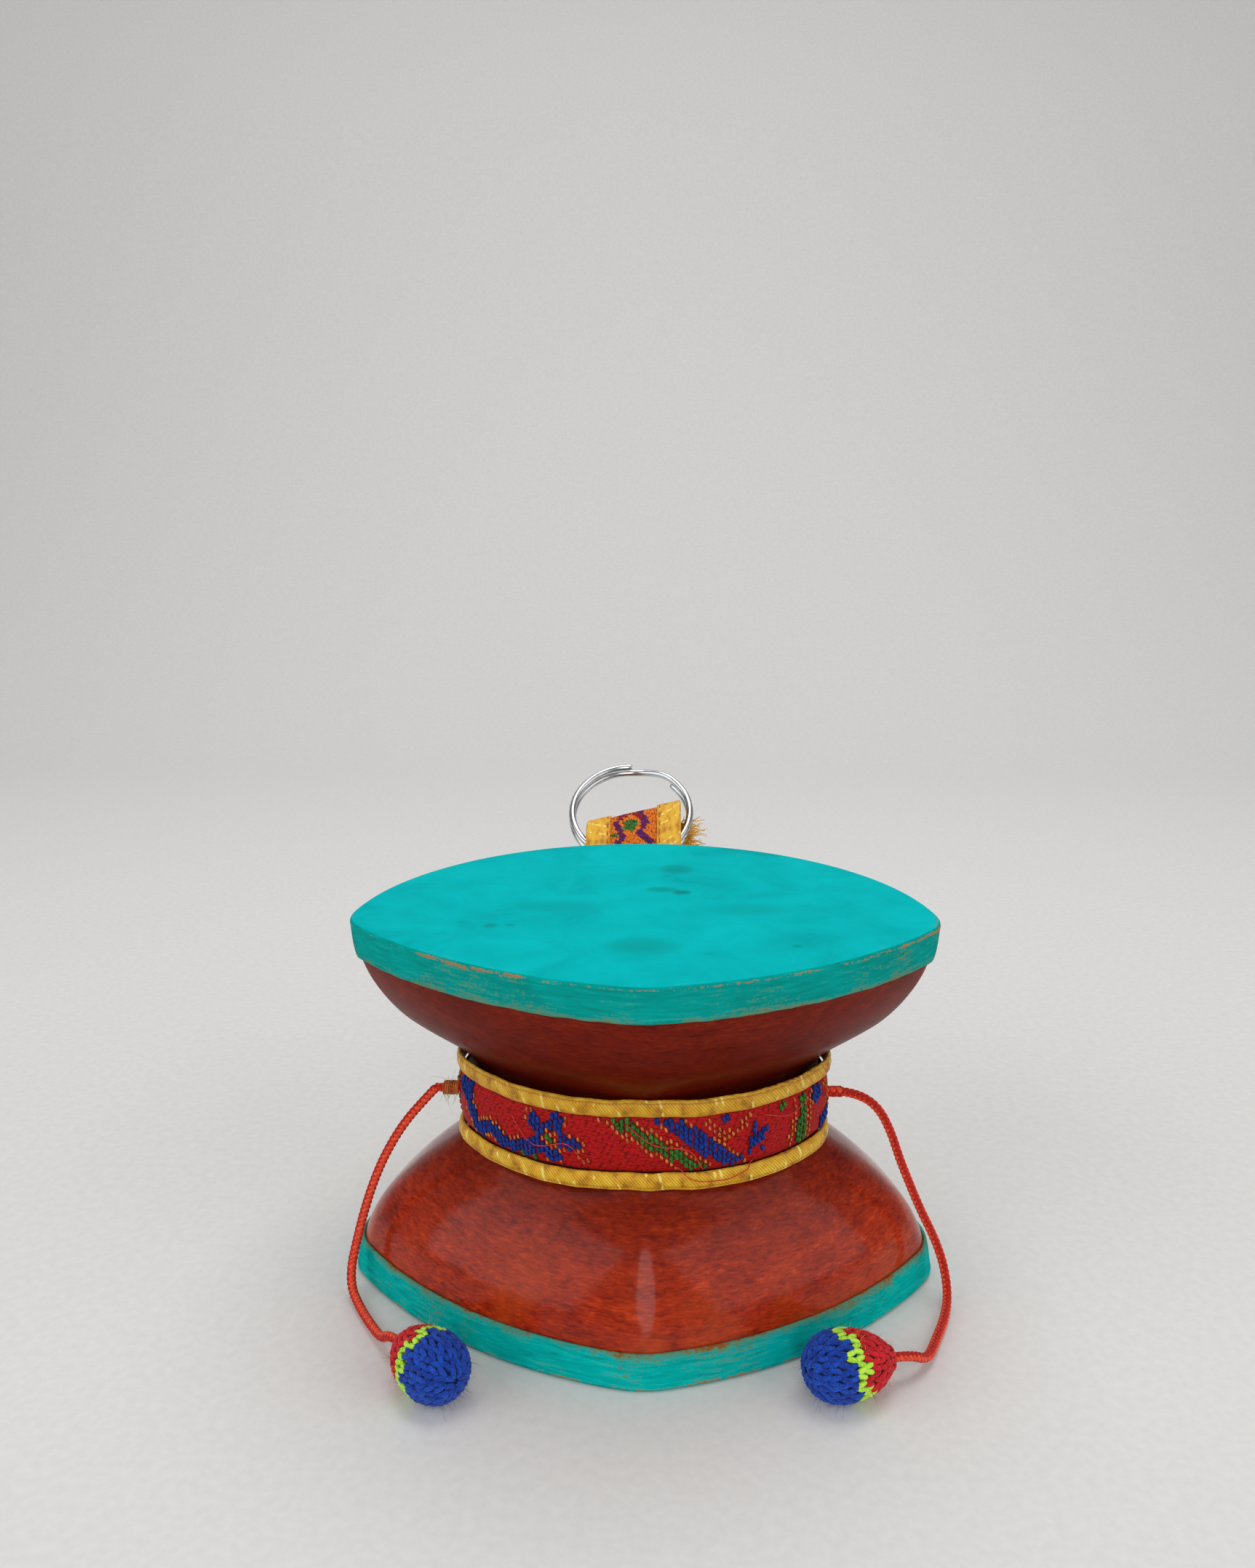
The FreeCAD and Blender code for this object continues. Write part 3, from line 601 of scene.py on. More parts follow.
@dataclass(frozen=True)
class Satin(Finish):
    """Woven silk satin: a steep fine twill with a soft sheen, short floats with a painted highlight,
    and painted shade in its folds.
    """

    # shine is the colour of the painted highlight on the short floats.
    shine: str = "#FAE27A"
    base: str = "#E0A616"
    light: str = "#F2C636"
    dark: str = "#96600A"
    roughness: float = 0.42
    sheen: float = 0.06
    specular: float = 0.3

    def paint(self, tree: bpy.types.NodeTree) -> Sockets:
        """Twill lines 0.5 mm apart across the lay attribute, which is in millimetres."""
        lay = add(tree, "Attribute", attribute_name="lay", out="Vector")
        twill = add(tree, "TexWave", {"Vector": lay, "Scale": 0.95, "Distortion": 0.8,
                                      "Detail": 2.0, "Detail Scale": 2.0},
                    wave_type="BANDS", bands_direction="DIAGONAL", out="Fac")
        along = add(tree, "VectorMath", {0: lay, 1: (0.24, 0.05, 0.0)},
                    operation="DOT_PRODUCT", out="Value")
        line = add(tree, "TexVoronoi", {"W": along, "Scale": 1.0, "Randomness": 0.9},
                   voronoi_dimensions="1D", out="Distance")
        # Short floats of the weave, lit with a painted highlight in the shine colour.
        float_highlight = add(tree, "ValToRGB", {"Fac": line}, stops=[(0.05, 0.9), (0.075, 0.0)])
        broken = add(tree, "TexNoise", {"Vector": lay, "Scale": 0.42, "Detail": 1.0})
        whole = add(tree, "ValToRGB", {"Fac": broken}, stops=[(0.50, 0.0), (0.56, 1.0)])
        spots = add(tree, "Math", {0: float_highlight, 1: whole}, operation="MULTIPLY")
        cloud = add(tree, "TexNoise", {"Vector": lay, "Scale": 0.35, "Detail": 4.0})
        tone = add(tree, "ValToRGB", {"Fac": cloud}, stops=[
            (0.30, self.dark), (0.68, self.light), (0.46, self.base)])
        thread = add(tree, "ValToRGB", {"Fac": twill}, stops=[(0.0, "#B8B0A0"), (0.6, "#FFFFFF")])
        colour = add(tree, "Mix", {0: 0.75, 6: tone, 7: thread}, 2, data_type="RGBA",
                     blend_type="MULTIPLY")
        colour = add(tree, "Mix", {0: spots, 6: colour, 7: linear(self.shine)}, 2, data_type="RGBA")
        # Painted shade: darker in creases and folds, by the fold value.
        fold = add(tree, "Attribute", attribute_name="fold", out="Fac")
        colour = add(tree, "Mix", {0: fold, 6: colour, 7: linear(self.dark)}, 2, data_type="RGBA")
        bump = add(tree, "Bump", {"Strength": 0.35, "Distance": 0.00008, "Height": twill})
        return {"Base Color": colour, "Normal": bump}


@dataclass(frozen=True)
class Brocade(Finish):
    """Silk brocade: a ribbed ground with raised floats, coloured by the weave attribute."""

    roughness: float = 0.6
    sheen: float = 0.03
    specular: float = 0.12

    def paint(self, tree: bpy.types.NodeTree) -> Sockets:
        """Ground threads 0.4 mm apart that lean a little, with painted shade in the pits between their
        floats.
        """
        weave = add(tree, "Attribute", attribute_name="weave", out="Color")
        lay = add(tree, "Attribute", attribute_name="lay", out="Vector")
        long = add(tree, "Mapping", {"Vector": lay, "Rotation": (0, 0, 0.16),
                                     "Scale": (0.85, 2.5, 1.0)})
        pit = add(tree, "TexVoronoi", {"Vector": long, "Scale": 1.0, "Randomness": 0.55},
                  voronoi_dimensions="2D", out="Distance")
        thread = add(tree, "TexNoise", {"Vector": long, "Scale": 1.6, "Detail": 3.0,
                                        "Roughness": 0.6})
        fine = add(tree, "TexNoise", {"Vector": lay, "Scale": 5.0, "Detail": 2.0})
        shade = add(tree, "ValToRGB", {"Fac": thread}, stops=[(0.30, "#A09088"), (0.60, "#FFFFFF")])
        # Painted shade in the pits between the floats.
        dark = add(tree, "ValToRGB", {"Fac": pit}, stops=[(0.42, "#FFFFFF"), (0.62, "#8A5A5A")])
        colour = weave
        for share, darker in ((0.7, shade), (0.8, dark)):
            colour = add(tree, "Mix", {0: share, 6: colour, 7: darker}, 2, data_type="RGBA",
                         blend_type="MULTIPLY")
        height = add(tree, "Math", {0: thread, 1: fine}, operation="ADD")
        bump = add(tree, "Bump", {"Strength": 0.4, "Distance": 0.0001, "Height": height})
        return {"Base Color": colour, "Normal": bump}


@dataclass(frozen=True)
class Yarn(Finish):
    """Spun thread: matt fibres with a soft sheen, each strand a little lighter or darker."""

    base: str = "#D9261C"
    light: str = "#F0503A"
    dark: str = "#8E0E0A"
    roughness: float = 0.8
    sheen: float = 0.12
    specular: float = 0.2

    def paint(self, tree: bpy.types.NodeTree) -> Sockets:
        """Fibres 0.24 mm wide, which is coarser than real ones so that they show, with painted shade in
        the dips that the across attribute gives."""
        place = add(tree, "TexCoord", out="Object")
        fibre = add(tree, "TexNoise", {"Vector": place, "Scale": 4200.0, "Detail": 3.0,
                                       "Roughness": 0.65})
        tone = add(tree, "Attribute", attribute_name="tone", out="Fac")
        mixed = add(tree, "Math", {0: fibre, 1: tone}, operation="ADD")
        shade = add(tree, "ValToRGB", {"Fac": mixed}, stops=[
            (0.28, self.dark), (0.80, self.light), (0.5, self.base)])
        across = add(tree, "Attribute", attribute_name="across", out="Fac")
        # Painted shade on the side of each strand that turns away, where it sinks among the others.
        painted_dip_shade = add(tree, "MapRange", {"Value": across, "From Min": 0.8, "From Max": -0.5,
                                     "To Max": 0.85})
        colour = add(tree, "Mix", {0: painted_dip_shade, 6: shade, 7: linear(self.dark)}, 2, data_type="RGBA")
        bump = add(tree, "Bump", {"Strength": 0.5, "Distance": 0.00008, "Height": fibre})
        return {"Base Color": colour, "Normal": bump}


@dataclass(frozen=True)
class PlainWood(Finish):
    """Bare turned wood: long grain under a dry matt surface."""

    roughness: float = 0.65

    def paint(self, tree: bpy.types.NodeTree) -> Sockets:
        """Grain lines 0.7 mm apart along Z."""
        place = add(tree, "TexCoord", out="Object")
        long = add(tree, "Mapping", {"Vector": place, "Scale": (1500, 1500, 90)})
        grain = add(tree, "TexNoise", {"Vector": long, "Scale": 1.0, "Detail": 5.0})
        colour = add(tree, "ValToRGB", {"Fac": grain}, stops=[(0.3, "#A5763F"), (0.7, "#D2A86C")])
        bump = add(tree, "Bump", {"Strength": 0.2, "Distance": 0.0001, "Height": grain})
        return {"Base Color": colour, "Normal": bump}


@dataclass(frozen=True)
class Cotton(Finish):
    """Unbleached cotton wadding: pale and felted."""

    roughness: float = 0.9
    sheen: float = 0.3

    def paint(self, tree: bpy.types.NodeTree) -> Sockets:
        """Tufts 1 mm across."""
        place = add(tree, "TexCoord", out="Object")
        tuft = add(tree, "TexNoise", {"Vector": place, "Scale": 950.0, "Detail": 6.0})
        colour = add(tree, "ValToRGB", {"Fac": tuft}, stops=[(0.3, "#B8A98C"), (0.7, "#E8DEC8")])
        bump = add(tree, "Bump", {"Strength": 0.6, "Distance": 0.0002, "Height": tuft})
        return {"Base Color": colour, "Normal": bump}


@dataclass(frozen=True)
class PolishedSteel(Finish):
    """Hardened steel wire, nickel plated and polished: a mirror with faint, fine wear."""

    roughness: float = 0.2
    metallic: float = 1.0

    def paint(self, tree: bpy.types.NodeTree) -> Sockets:
        """Scuffs 0.4 mm across and faint grey clouds 3 mm across."""
        place = add(tree, "TexCoord", out="Object")
        line = add(tree, "TexNoise", {"Vector": place, "Scale": 2600.0, "Detail": 4.0})
        cloud = add(tree, "TexNoise", {"Vector": place, "Scale": 330.0, "Detail": 3.0})
        colour = add(tree, "ValToRGB", {"Fac": cloud}, stops=[(0.3, "#B6B8BA"), (0.7, "#D2D3D5")])
        rough = add(tree, "MapRange", {"Value": line, "To Min": 0.15, "To Max": 0.22})
        bump = add(tree, "Bump", {"Strength": 0.015, "Distance": 0.00003, "Height": line})
        return {"Base Color": colour, "Roughness": rough, "Normal": bump}


LACQUER = LacqueredWood("red_brown_lacquered_wood")
HIDE = PaintedSkin("turquoise_painted_hide")
GOLD_SATIN = Satin("figured_gold_satin")
YELLOW_SATIN = Satin("yellow_satin_tape", base="#EEAC0E", light="#FCCB34", dark="#B87A0A")
BROCADE = Brocade("crimson_silk_brocade")
ORANGE_BROCADE = Brocade("orange_silk_brocade")
RED_CORD = Yarn("red_braided_cord", base="#DE2A14", light="#FA7048", dark="#8E1006")
RED_YARN = Yarn("red_acrylic_yarn", base="#D00C1A", light="#E62A34", dark="#5E0208")
LIME_YARN = Yarn("lime_acrylic_yarn", base="#BDF03C", light="#DAFA7C", dark="#5E9A14")
BLUE_YARN = Yarn("blue_acrylic_yarn", base="#0C3EA8", light="#2468D8", dark="#041450")
OLIVE_THREAD = Yarn("olive_loose_thread", base="#A8A040", light="#D0CC70", dark="#5E5420")
RUST_THREAD = Yarn("rust_whipping_thread", base="#B8501C", light="#DC8A3C", dark="#64240A")
ORANGE_THREAD = Yarn("orange_sewing_thread", base="#D4581C", light="#E88440", dark="#8A2C0C")
YELLOW_THREAD = Yarn("yellow_frayed_thread", base="#F0AE1E", light="#FFD654", dark="#C27E12")
TURNED_WOOD = PlainWood("plain_turned_wood")
WADDING = Cotton("cotton_wadding")
STEEL = PolishedSteel("polished_steel_wire")


# Drum body


def piece(surface: Surface, name: str, finish: Finish, body: str, slot: str,
          *nodes: str) -> bpy.types.Object:
    """Makes a piece of a surface, hangs it on its body and hides the CAD nodes that it stands for.

    Args:
        surface: the piece's shape.
        name: its object's name.
        finish: its only finish.
        body: the body that it rides on.
        slot: its material slot; not used.
        nodes: CAD nodes that it stands for.

    Returns:
        The piece's object.
    """
    thing = surface.made(name, finish.material())
    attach(thing, body)
    if nodes:
        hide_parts(*nodes)
    return thing


def repaint(node: str, finish: Finish) -> None:
    """Gives a finish to a CAD node that stays in the scene."""
    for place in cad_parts[node].material_slots:
        place.material = finish.material()


@dataclass(frozen=True)
class Bowl:
    """One carved bowl and its skin, in millimetres. It narrows from its rim to the waist.

    rim is its half width, front depth and back depth. flare says how much of the rim's size is
    left at shares of the way to the waist, direction is 1 for a bowl that rises from its face, and
    marks are smudges on the face: place, half width, half depth and strength. shade is painted
    shade for a bowl that lies in shadow: it darkens the wood as the waist is darkened, and the
    band of the skin.
    """

    name: str
    rim: tuple[float, float, float]
    height: float
    face_height: float
    direction: int
    flare: tuple[tuple[float, float], ...]
    waist_half_width: float = 33.2
    waist_front: float = 18.0
    skin: float = 0.8
    wall: float = 5.0
    crown: float = 9.0
    lap: float = 7.5
    fit: float = 0.09
    shade: float = 0.0
    marks: tuple[tuple[float, float, float, float, float], ...] = ()
    columns: int = 480
    face_rings: int = 43
    edge_rings: int = 7

    @property
    def depth(self) -> float:
        """Height of the wooden bowl."""
        return self.height - self.skin

    def rings(self, share: Array, growth: Array | float = 0.0, level: Array | None = None) -> Array:
        """Outlines at shares of the way to the waist.

        The rim's outline is scaled by flare + (1 - flare) x waist width / rim width and shifted to
        the back as it narrows, then moved out along its normals by the growth.

        Args:
            share: one share per ring.
            growth: length added outwards, one for all or one per ring.
            level: height of each ring, if not the bowl's own.

        Returns:
            Points of shape (rings, columns, 3).
        """
        share = np.asarray(share, float)
        flare = curve_through(np.clip(share, 0, 1), self.flare)
        narrow = self.waist_half_width / self.rim[0]
        ratio = flare + (1 - flare) * narrow
        shift = (1 - flare) * (narrow * self.rim[1] - self.waist_front)
        ring = BOWL_PLAN.points(self.rim, self.columns)
        normal = ring_normals(ring)
        plan = ratio[:, None, None] * ring
        plan[..., 1] += shift[:, None]
        plan += np.broadcast_to(np.asarray(growth, float), share.shape)[:, None, None] * normal
        z = self.level(share) if level is None else level
        return at_height(plan, np.asarray(z, float)[:, None])

    def level(self, share: Array) -> Array:
        """Height above the floor at a share of the way from rim to waist."""
        return self.face_height + self.direction * (self.skin + share * self.depth)

    def wood(self) -> Surface:
        """Closed wooden bowl: hollow, rim, flaring outside and the crown's flat.

        The depth value is 0 at the rim and 1 at the waist, and is moved towards 1 by the shade, which
        spreads the waist's painted shade over the whole bowl.
        """
        inner = tuple(size - self.wall for size in self.rim)
        mouth = BOWL_PLAN.points(inner, self.columns)
        floor = 1 - self.crown / self.depth
        hollow_share = np.array([floor, floor, floor, 0.7, 0.55, 0.36, 0.2, 0.0])
        hollow_size = np.interp(hollow_share, (0, 0.36, floor), (1, 0.90, 0.53))
        hollow_size[:2] = 0.15, 0.4
        hollow = at_height(hollow_size[:, None, None] * mouth, self.level(hollow_share)[:, None])
        outside_share = np.linspace(0, 1, 96)
        outside = self.rings(outside_share)
        crown = shrunk(outside[-1:], 0.7, 0.3)
        grid = np.concatenate([hollow, outside, crown])
        share = np.concatenate([np.full(len(hollow), 0.5), outside_share, np.ones(len(crown))])
        # Painted shade: the shade value moves the whole bowl towards the waist's darker colour.
        share = self.shade + (1 - self.shade) * share
        depth = np.broadcast_to(share[:, None], grid.shape[:2])
        return Surface.closed(grid, {"depth": depth})

    def hide(self) -> Surface:
        """Skin over the rim: face, soft edge, lapped skirt and its inside, as one closed form.

        The drop of a ring is how far it lies below the face, along the skin.
        """
        face_size = np.linspace(0.02, 1, self.face_rings + 1)[:-1]
        edge = self.rings(np.zeros(1), -0.2)[0]
        shrink = np.stack([face_size, face_size, np.ones(self.face_rings)], -1)
        face = edge[None] * shrink[:, None]
        face[..., 2] = self.face_height
        turn = np.linspace(0, math.pi / 2, self.edge_rings)
        edge_drop = 1 - np.cos(turn)
        rounding = self.rings(np.zeros(self.edge_rings), self.skin - 1 + np.sin(turn),
                              self.face_height + self.direction * edge_drop)
        drop = np.linspace(1.0, self.lap, 22)[1:]
        place = np.arange(self.columns) / self.columns
        uneven = 0.15 * waves(place, 3 + self.direction, 9, 60, 11)
        skirt = self.rings(np.maximum(drop - self.skin, 0) / self.depth, self.skin)
        low = smooth(0.55, 1.0, drop / self.lap)
        skirt[..., 2] += self.direction * low[:, None] * uneven
        inside_drop = np.array([self.lap, 5.0, 2.5, 0.9])
        inside = self.rings((inside_drop - self.skin).clip(0) / self.depth, self.fit)
        under = shrunk(inside[-1:], 0.9, 0.3)
        lip = skirt[-1:] * 0.5 + inside[:1] * 0.5
        lip[..., 2] += self.direction * 0.12
        grid = np.concatenate([face, rounding, skirt, lip, inside, under])
        drops = np.concatenate([np.zeros(len(face)), edge_drop, drop])
        drops = np.concatenate([drops, np.full(len(grid) - len(drops), self.lap)])
        return Surface.closed(grid, self.paint_values(grid, drops, 1 - face_size, place))

    def paint_values(self, grid: Array, drops: Array, inward: Array, place: Array) -> dict[str, Array]:
        """Values that the painted finish reads.

        Args:
            grid: the skin's rings.
            drops: drop of each ring.
            inward: share of the way from the edge to the middle, for each ring of the face.
            place: share of the way round, for each column.

        Returns:
            face, 1 on the face and the start of its soft edge, mark, dark smudges on the face
            and painted shade on the band of a bowl in shadow, and wear_top and wear_low, how near a place
            is to the face's edge and the skirt's.
        """
        face, upper = slice(self.face_rings), self.face_rings + 3
        inward = inward * float(np.linalg.norm(self.rim[:2]))
        top = np.exp(-((drops - 0.75) / 0.55) ** 2) * 0.55
        top[face] = np.exp(-(inward / 1.6)) * 0.22 - 0.5 * smooth(0.6, 2.5, inward)
        bottom = np.exp(-((self.lap - drops) / 1.1) ** 1.2) * 0.42
        bottom[face] = -0.8
        patches = 0.10 * waves(place, 11, 3, 23, 9)
        is_face = (np.arange(len(grid)) < upper)[:, None] * np.ones((1, self.columns))
        mark = np.zeros(grid.shape[:2])
        # Painted shade: the band of a bowl that lies in shadow is darkened.
        mark[upper:] = 0.9 * self.shade
        for x, y, wide, deep, strength in self.marks:
            near = ((grid[face, :, 0] - x) / wide) ** 2 + ((grid[face, :, 1] - y) / deep) ** 2
            mark[face] = np.maximum(mark[face], strength * np.exp(-near ** 1.5))
        return {"face": is_face, "mark": mark, "wear_top": top[:, None] + patches * 0.6,
                "wear_low": bottom[:, None] + patches}


SMUDGES = ((-0.3, -14.8, 8.0, 5.5, 0.38), (7.3, 37.0, 4.2, 4.0, 0.6), (8.0, 19.6, 2.0, 1.4, 1.2),
           (4.0, 21.5, 4.0, 2.2, 0.5), (-31.0, -3.3, 1.5, 1.5, 0.7), (-27.0, -3.0, 1.1, 1.1, 0.6),
           (29.9, -14.0, 1.3, 1.2, 0.6), (-18.0, 9.0, 11.0, 5.0, 0.3), (22.0, 8.0, 12.0, 5.0, 0.28))
# The upper bowl lies in shadow, so its shade paints shade over its wood and band.
UPPER = Bowl("upper", (60.6, 35.0, 59.0), 38.3, 80.3, -1,
             ((0, 1), (0.18, 0.966), (0.36, 0.85), (0.54, 0.63), (0.745, 0.205), (0.87, 0.05), (1, 0)),
             shade=0.74, marks=SMUDGES)
LOWER = Bowl("lower", (62.5, 38.5, 58.5), 42.0, 0.0, 1,
             ((0, 1), (0.18, 0.95), (0.36, 0.82), (0.54, 0.58), (0.755, 0.175), (0.87, 0.04), (1, 0)))


@dataclass(frozen=True)
class DrumBody:
    """The two bowls with their skins, and the peg between them."""

    bowls: tuple[Bowl, Bowl] = (LOWER, UPPER)

    def build(self) -> None:
        """Makes and dresses the bowls and heads."""
        for bowl in self.bowls:
            piece(bowl.wood(), f"{bowl.name}_wood", LACQUER, "drum", "lacquered_wood",
                  f"{bowl.name}_shell")
            piece(bowl.hide(), f"{bowl.name}_skin", HIDE, "drum", "painted_skin",
                  f"{bowl.name}_head")
        repaint("waist_peg", TURNED_WOOD)


# Belt


BLUE, GREEN, ORANGE, CRIMSON, PLUM = "#163C9E", "#3F7F2E", "#E0813A", "#BA1212", "#6E2168"
STRAP_GROUND = "#F07C20"
STRAP_HEM = "#B9501E"


class Form(Enum):
    """Forms that the weaver's pattern is drawn with."""

    STROKE = "stroke"
    DISC = "disc"
    STAR = "star"


@dataclass(frozen=True)
class Motif:
    """One woven form, in millimetres along and up the cloth, filled with small raised floats.

    points are a stroke's corners or a form's middle, size is a stroke's half width or a form's
    radius, and angle and pitch are the turn and the steps of the lattice of floats.
    """

    form: Form
    colour: str
    points: tuple[tuple[float, float], ...]
    size: float
    angle: float = 0.0
    pitch: tuple[float, float] = (1.3, 0.7)

    @property
    def fine(self) -> bool:
        """True for the orange thread, whose floats are short and thin."""
        return self.colour == ORANGE

    def inside(self, u: Array, v: Array) -> Array:
        """True where a place is in the form: near its line, or within its radius.

        Args:
            u: places along the cloth.
            v: places up the cloth.
        """
        if self.form is Form.STROKE:
            best = np.full(u.shape, 1e9)
            for (u0, v0), (u1, v1) in zip(self.points, self.points[1:]):
                du, dv = u1 - u0, v1 - v0
                t = np.clip(((u - u0) * du + (v - v0) * dv) / (du * du + dv * dv), 0, 1)
                best = np.minimum(best, np.hypot(u - u0 - t * du, v - v0 - t * dv))
            return best < self.size
        (cu, cv), = self.points
        radius = np.hypot(u - cu, v - cv)
        if self.form is Form.DISC:
            return radius < self.size
        petals = 0.72 + 0.28 * np.cos(5 * np.arctan2(v - cv, u - cu) + 0.4)
        return radius < self.size * petals

    def floats(self, u: Array, v: Array) -> tuple[Array, Array, Array]:
        """Staggered oval floats of a turned lattice.

        Args:
            u: places along the cloth.
            v: places up the cloth.

        Returns:
            Middle of the float at each place, and its height there from 0 to 1.
        """
        cosine, sine = math.cos(self.angle), math.sin(self.angle)
        x, y = cosine * u + sine * v, -sine * u + cosine * v
        row = np.floor(y / self.pitch[1])
        shift = 0.5 * (row % 2) + 0.13 * np.sin(row * 2.3)
        column = np.floor(x / self.pitch[0] + shift)
        middle_x = (column + 0.5 - shift) * self.pitch[0]
        middle_y = (row + 0.5) * self.pitch[1]
        off_x, off_y = (x - middle_x) / self.pitch[0] / 0.5, (y - middle_y) / self.pitch[1] / 0.52
        height = np.sqrt(np.clip(1 - (off_x ** 2 + off_y ** 2), 0, 1))
        return (cosine * middle_x - sine * middle_y, sine * middle_x + cosine * middle_y, height)


def stroke(colour: str, half: float, *points: tuple[float, float]) -> Motif:
    """Stroke of a half width through points."""
    return Motif(Form.STROKE, colour, points, half)


def spot(colour: str, u: float, v: float, radius: float, form: Form = Form.DISC) -> Motif:
    """Disc or star about a place."""
    return Motif(form, colour, ((u, v),), radius)


ZIGZAG = ((-42.5, 11.5), (-40.2, 6.5), (-37.2, 1.8), (-33.4, 4.4), (-29.6, 1.9), (-26.0, 2.2),
          (-22.5, 3.2))
BELT_MOTIFS = (
    stroke(ORANGE, 2.3, *ZIGZAG), spot(ORANGE, -18.5, 5.8, 7.6, Form.STAR),
    stroke(BLUE, 1.35, *ZIGZAG), spot(BLUE, -42.0, 9.8, 2.8),
    spot(BLUE, -18.5, 5.8, 6.3, Form.STAR), spot(ORANGE, -18.3, 5.9, 2.0),
    spot(GREEN, -18.3, 5.9, 0.7), stroke(GREEN, 0.5, (-27.0, 0.9), (-21.5, 0.7)),
    stroke(ORANGE, 0.6, (-12.6, 3.2), (-10.4, 1.6)), stroke(ORANGE, 0.55, (-9.6, 12.2), (8.6, 0.2)),
    stroke(ORANGE, 0.55, (-2.8, 11.8), (15.0, 0.4)), stroke(GREEN, 1.15, (-6.6, 12.2), (12.4, 0.0)),
    stroke(ORANGE, 0.5, (1.0, 12.2), (20.2, 0.0)), stroke(ORANGE, 0.6, (8.0, 11.2), (20.6, 1.4)),
    stroke(BLUE, 1.7, (3.4, 12.6), (19.0, 0.6)),
    stroke(ORANGE, 0.95, (12.8, 11.6), (13.8, 9.0), (16.4, 7.6), (19.4, 8.2), (21.8, 11.2)),
    spot(BLUE, 16.6, 11.0, 0.9), spot(BLUE, 23.2, 5.4, 1.5),
    *(stroke(BLUE, 0.5, (23.2, 5.4), tip) for tip in ((21.2, 2.8), (25.0, 3.0), (25.6, 7.4), (22.6, 8.2))),
    spot(GREEN, 29.6, 10.6, 1.0), stroke(ORANGE, 0.5, (31.6, 4.0), (32.4, -1.0)),
    stroke(ORANGE, 0.55, (32.6, -1.0), (33.0, 13.0)), stroke(ORANGE, 1.0, (37.4, -1.0), (38.2, 13.0)),
    stroke(GREEN, 1.2, (35.0, -1.0), (35.6, 13.0)), spot(BLUE, 40.6, 9.6, 1.9),
    spot(BLUE, 44.6, 2.4, 2.2), stroke(ORANGE, 0.9, (43.6, 12.0), (47.6, 4.0)),
    stroke(GREEN, 1.2, (-51.0, -1.0), (-50.0, 13.0)), stroke(ORANGE, 0.6, (-48.6, -1.0), (-47.8, 13.0)),
)
CLOSE_FLOATS = (1.1, 0.6)
STRAP_MOTIFS = (
    Motif(Form.STROKE, PLUM, ((-9, 0), (3, 16), (-4, 30), (5, 46)), 0.8, 0.9),
    Motif(Form.STAR, GREEN, ((-2.5, 11),), 3.0, 0.3),
    Motif(Form.DISC, GREEN, ((3.2, 26),), 1.4, 0.3),
    Motif(Form.STAR, CRIMSON, ((-2, 38),), 3.0, 0.9),
    Motif(Form.DISC, GREEN, ((3.4, 44),), 1.4, 0.3),
    Motif(Form.STROKE, PLUM, ((-5.2, 48), (-2.6, 54), (-4.4, 58), (-2.8, 63), (-6, 67)), 0.75, 0.9,
          CLOSE_FLOATS),
    Motif(Form.STROKE, PLUM, ((3.0, 50), (1.2, 55), (3.2, 59), (1.4, 62), (4.6, 66)), 0.85, 0.9,
          CLOSE_FLOATS),
    Motif(Form.STROKE, CRIMSON, ((-3.4, 56), (-0.6, 54.6), (1.4, 57)), 0.7, 0.9, CLOSE_FLOATS),
    Motif(Form.DISC, GREEN, ((-0.8, 59.2),), 1.9, 0.5, CLOSE_FLOATS),
    Motif(Form.DISC, GREEN, ((-4.8, 61.6),), 0.9, 0.5, CLOSE_FLOATS),
    Motif(Form.DISC, CRIMSON, ((2.4, 74),), 2.0, 0.5),
)


def woven(u: Array, v: Array, motifs: tuple[Motif, ...], ground: str,
          seed: int) -> tuple[Array, Array]:
    """Colour and relief of a brocade, with painted shade towards the edges of each float.

    Args:
        u: places along the cloth in millimetres.
        v: places across it.
        motifs: forms in the order that they lie over each other.
        ground: colour of the ground weave.
        seed: picks the uneven dyeing.

    Returns:
        Linear colours of shape (..., 4), and the height of the floats from 0 to 1.
    """
    colour = np.broadcast_to(np.array(linear(ground)), (*u.shape, 4)).copy()
    dye = waves(u / 216 + 0.7 * v / 216, seed, 11, 83, 9)
    dye = dye * waves(v / 24 - u / 190, seed + 1, 1, 40, 9)
    colour[..., :3] *= (1 + 0.35 * dye)[..., None]
    relief = np.zeros(u.shape)
    for motif in motifs:
        middle_u, middle_v, height = motif.floats(u, v)
        here = motif.inside(middle_u, middle_v)
        tone = 0.85 + 0.30 * np.sin(middle_u * 5.1 + middle_v * 7.7) ** 2
        # Painted shade: each float darker towards its edges, where it sinks into the ground.
        shade = (0.34 + 0.66 * smooth(0.0, 0.55, height)) * tone
        shaded_motif_colour = np.array(linear(motif.colour))[:3] * shade[..., None]
        colour[..., :3] = np.where(here[..., None], shaded_motif_colour, colour[..., :3])
        relief = np.where(here, height, relief * ~here)
    return np.clip(colour, 0, 1), relief


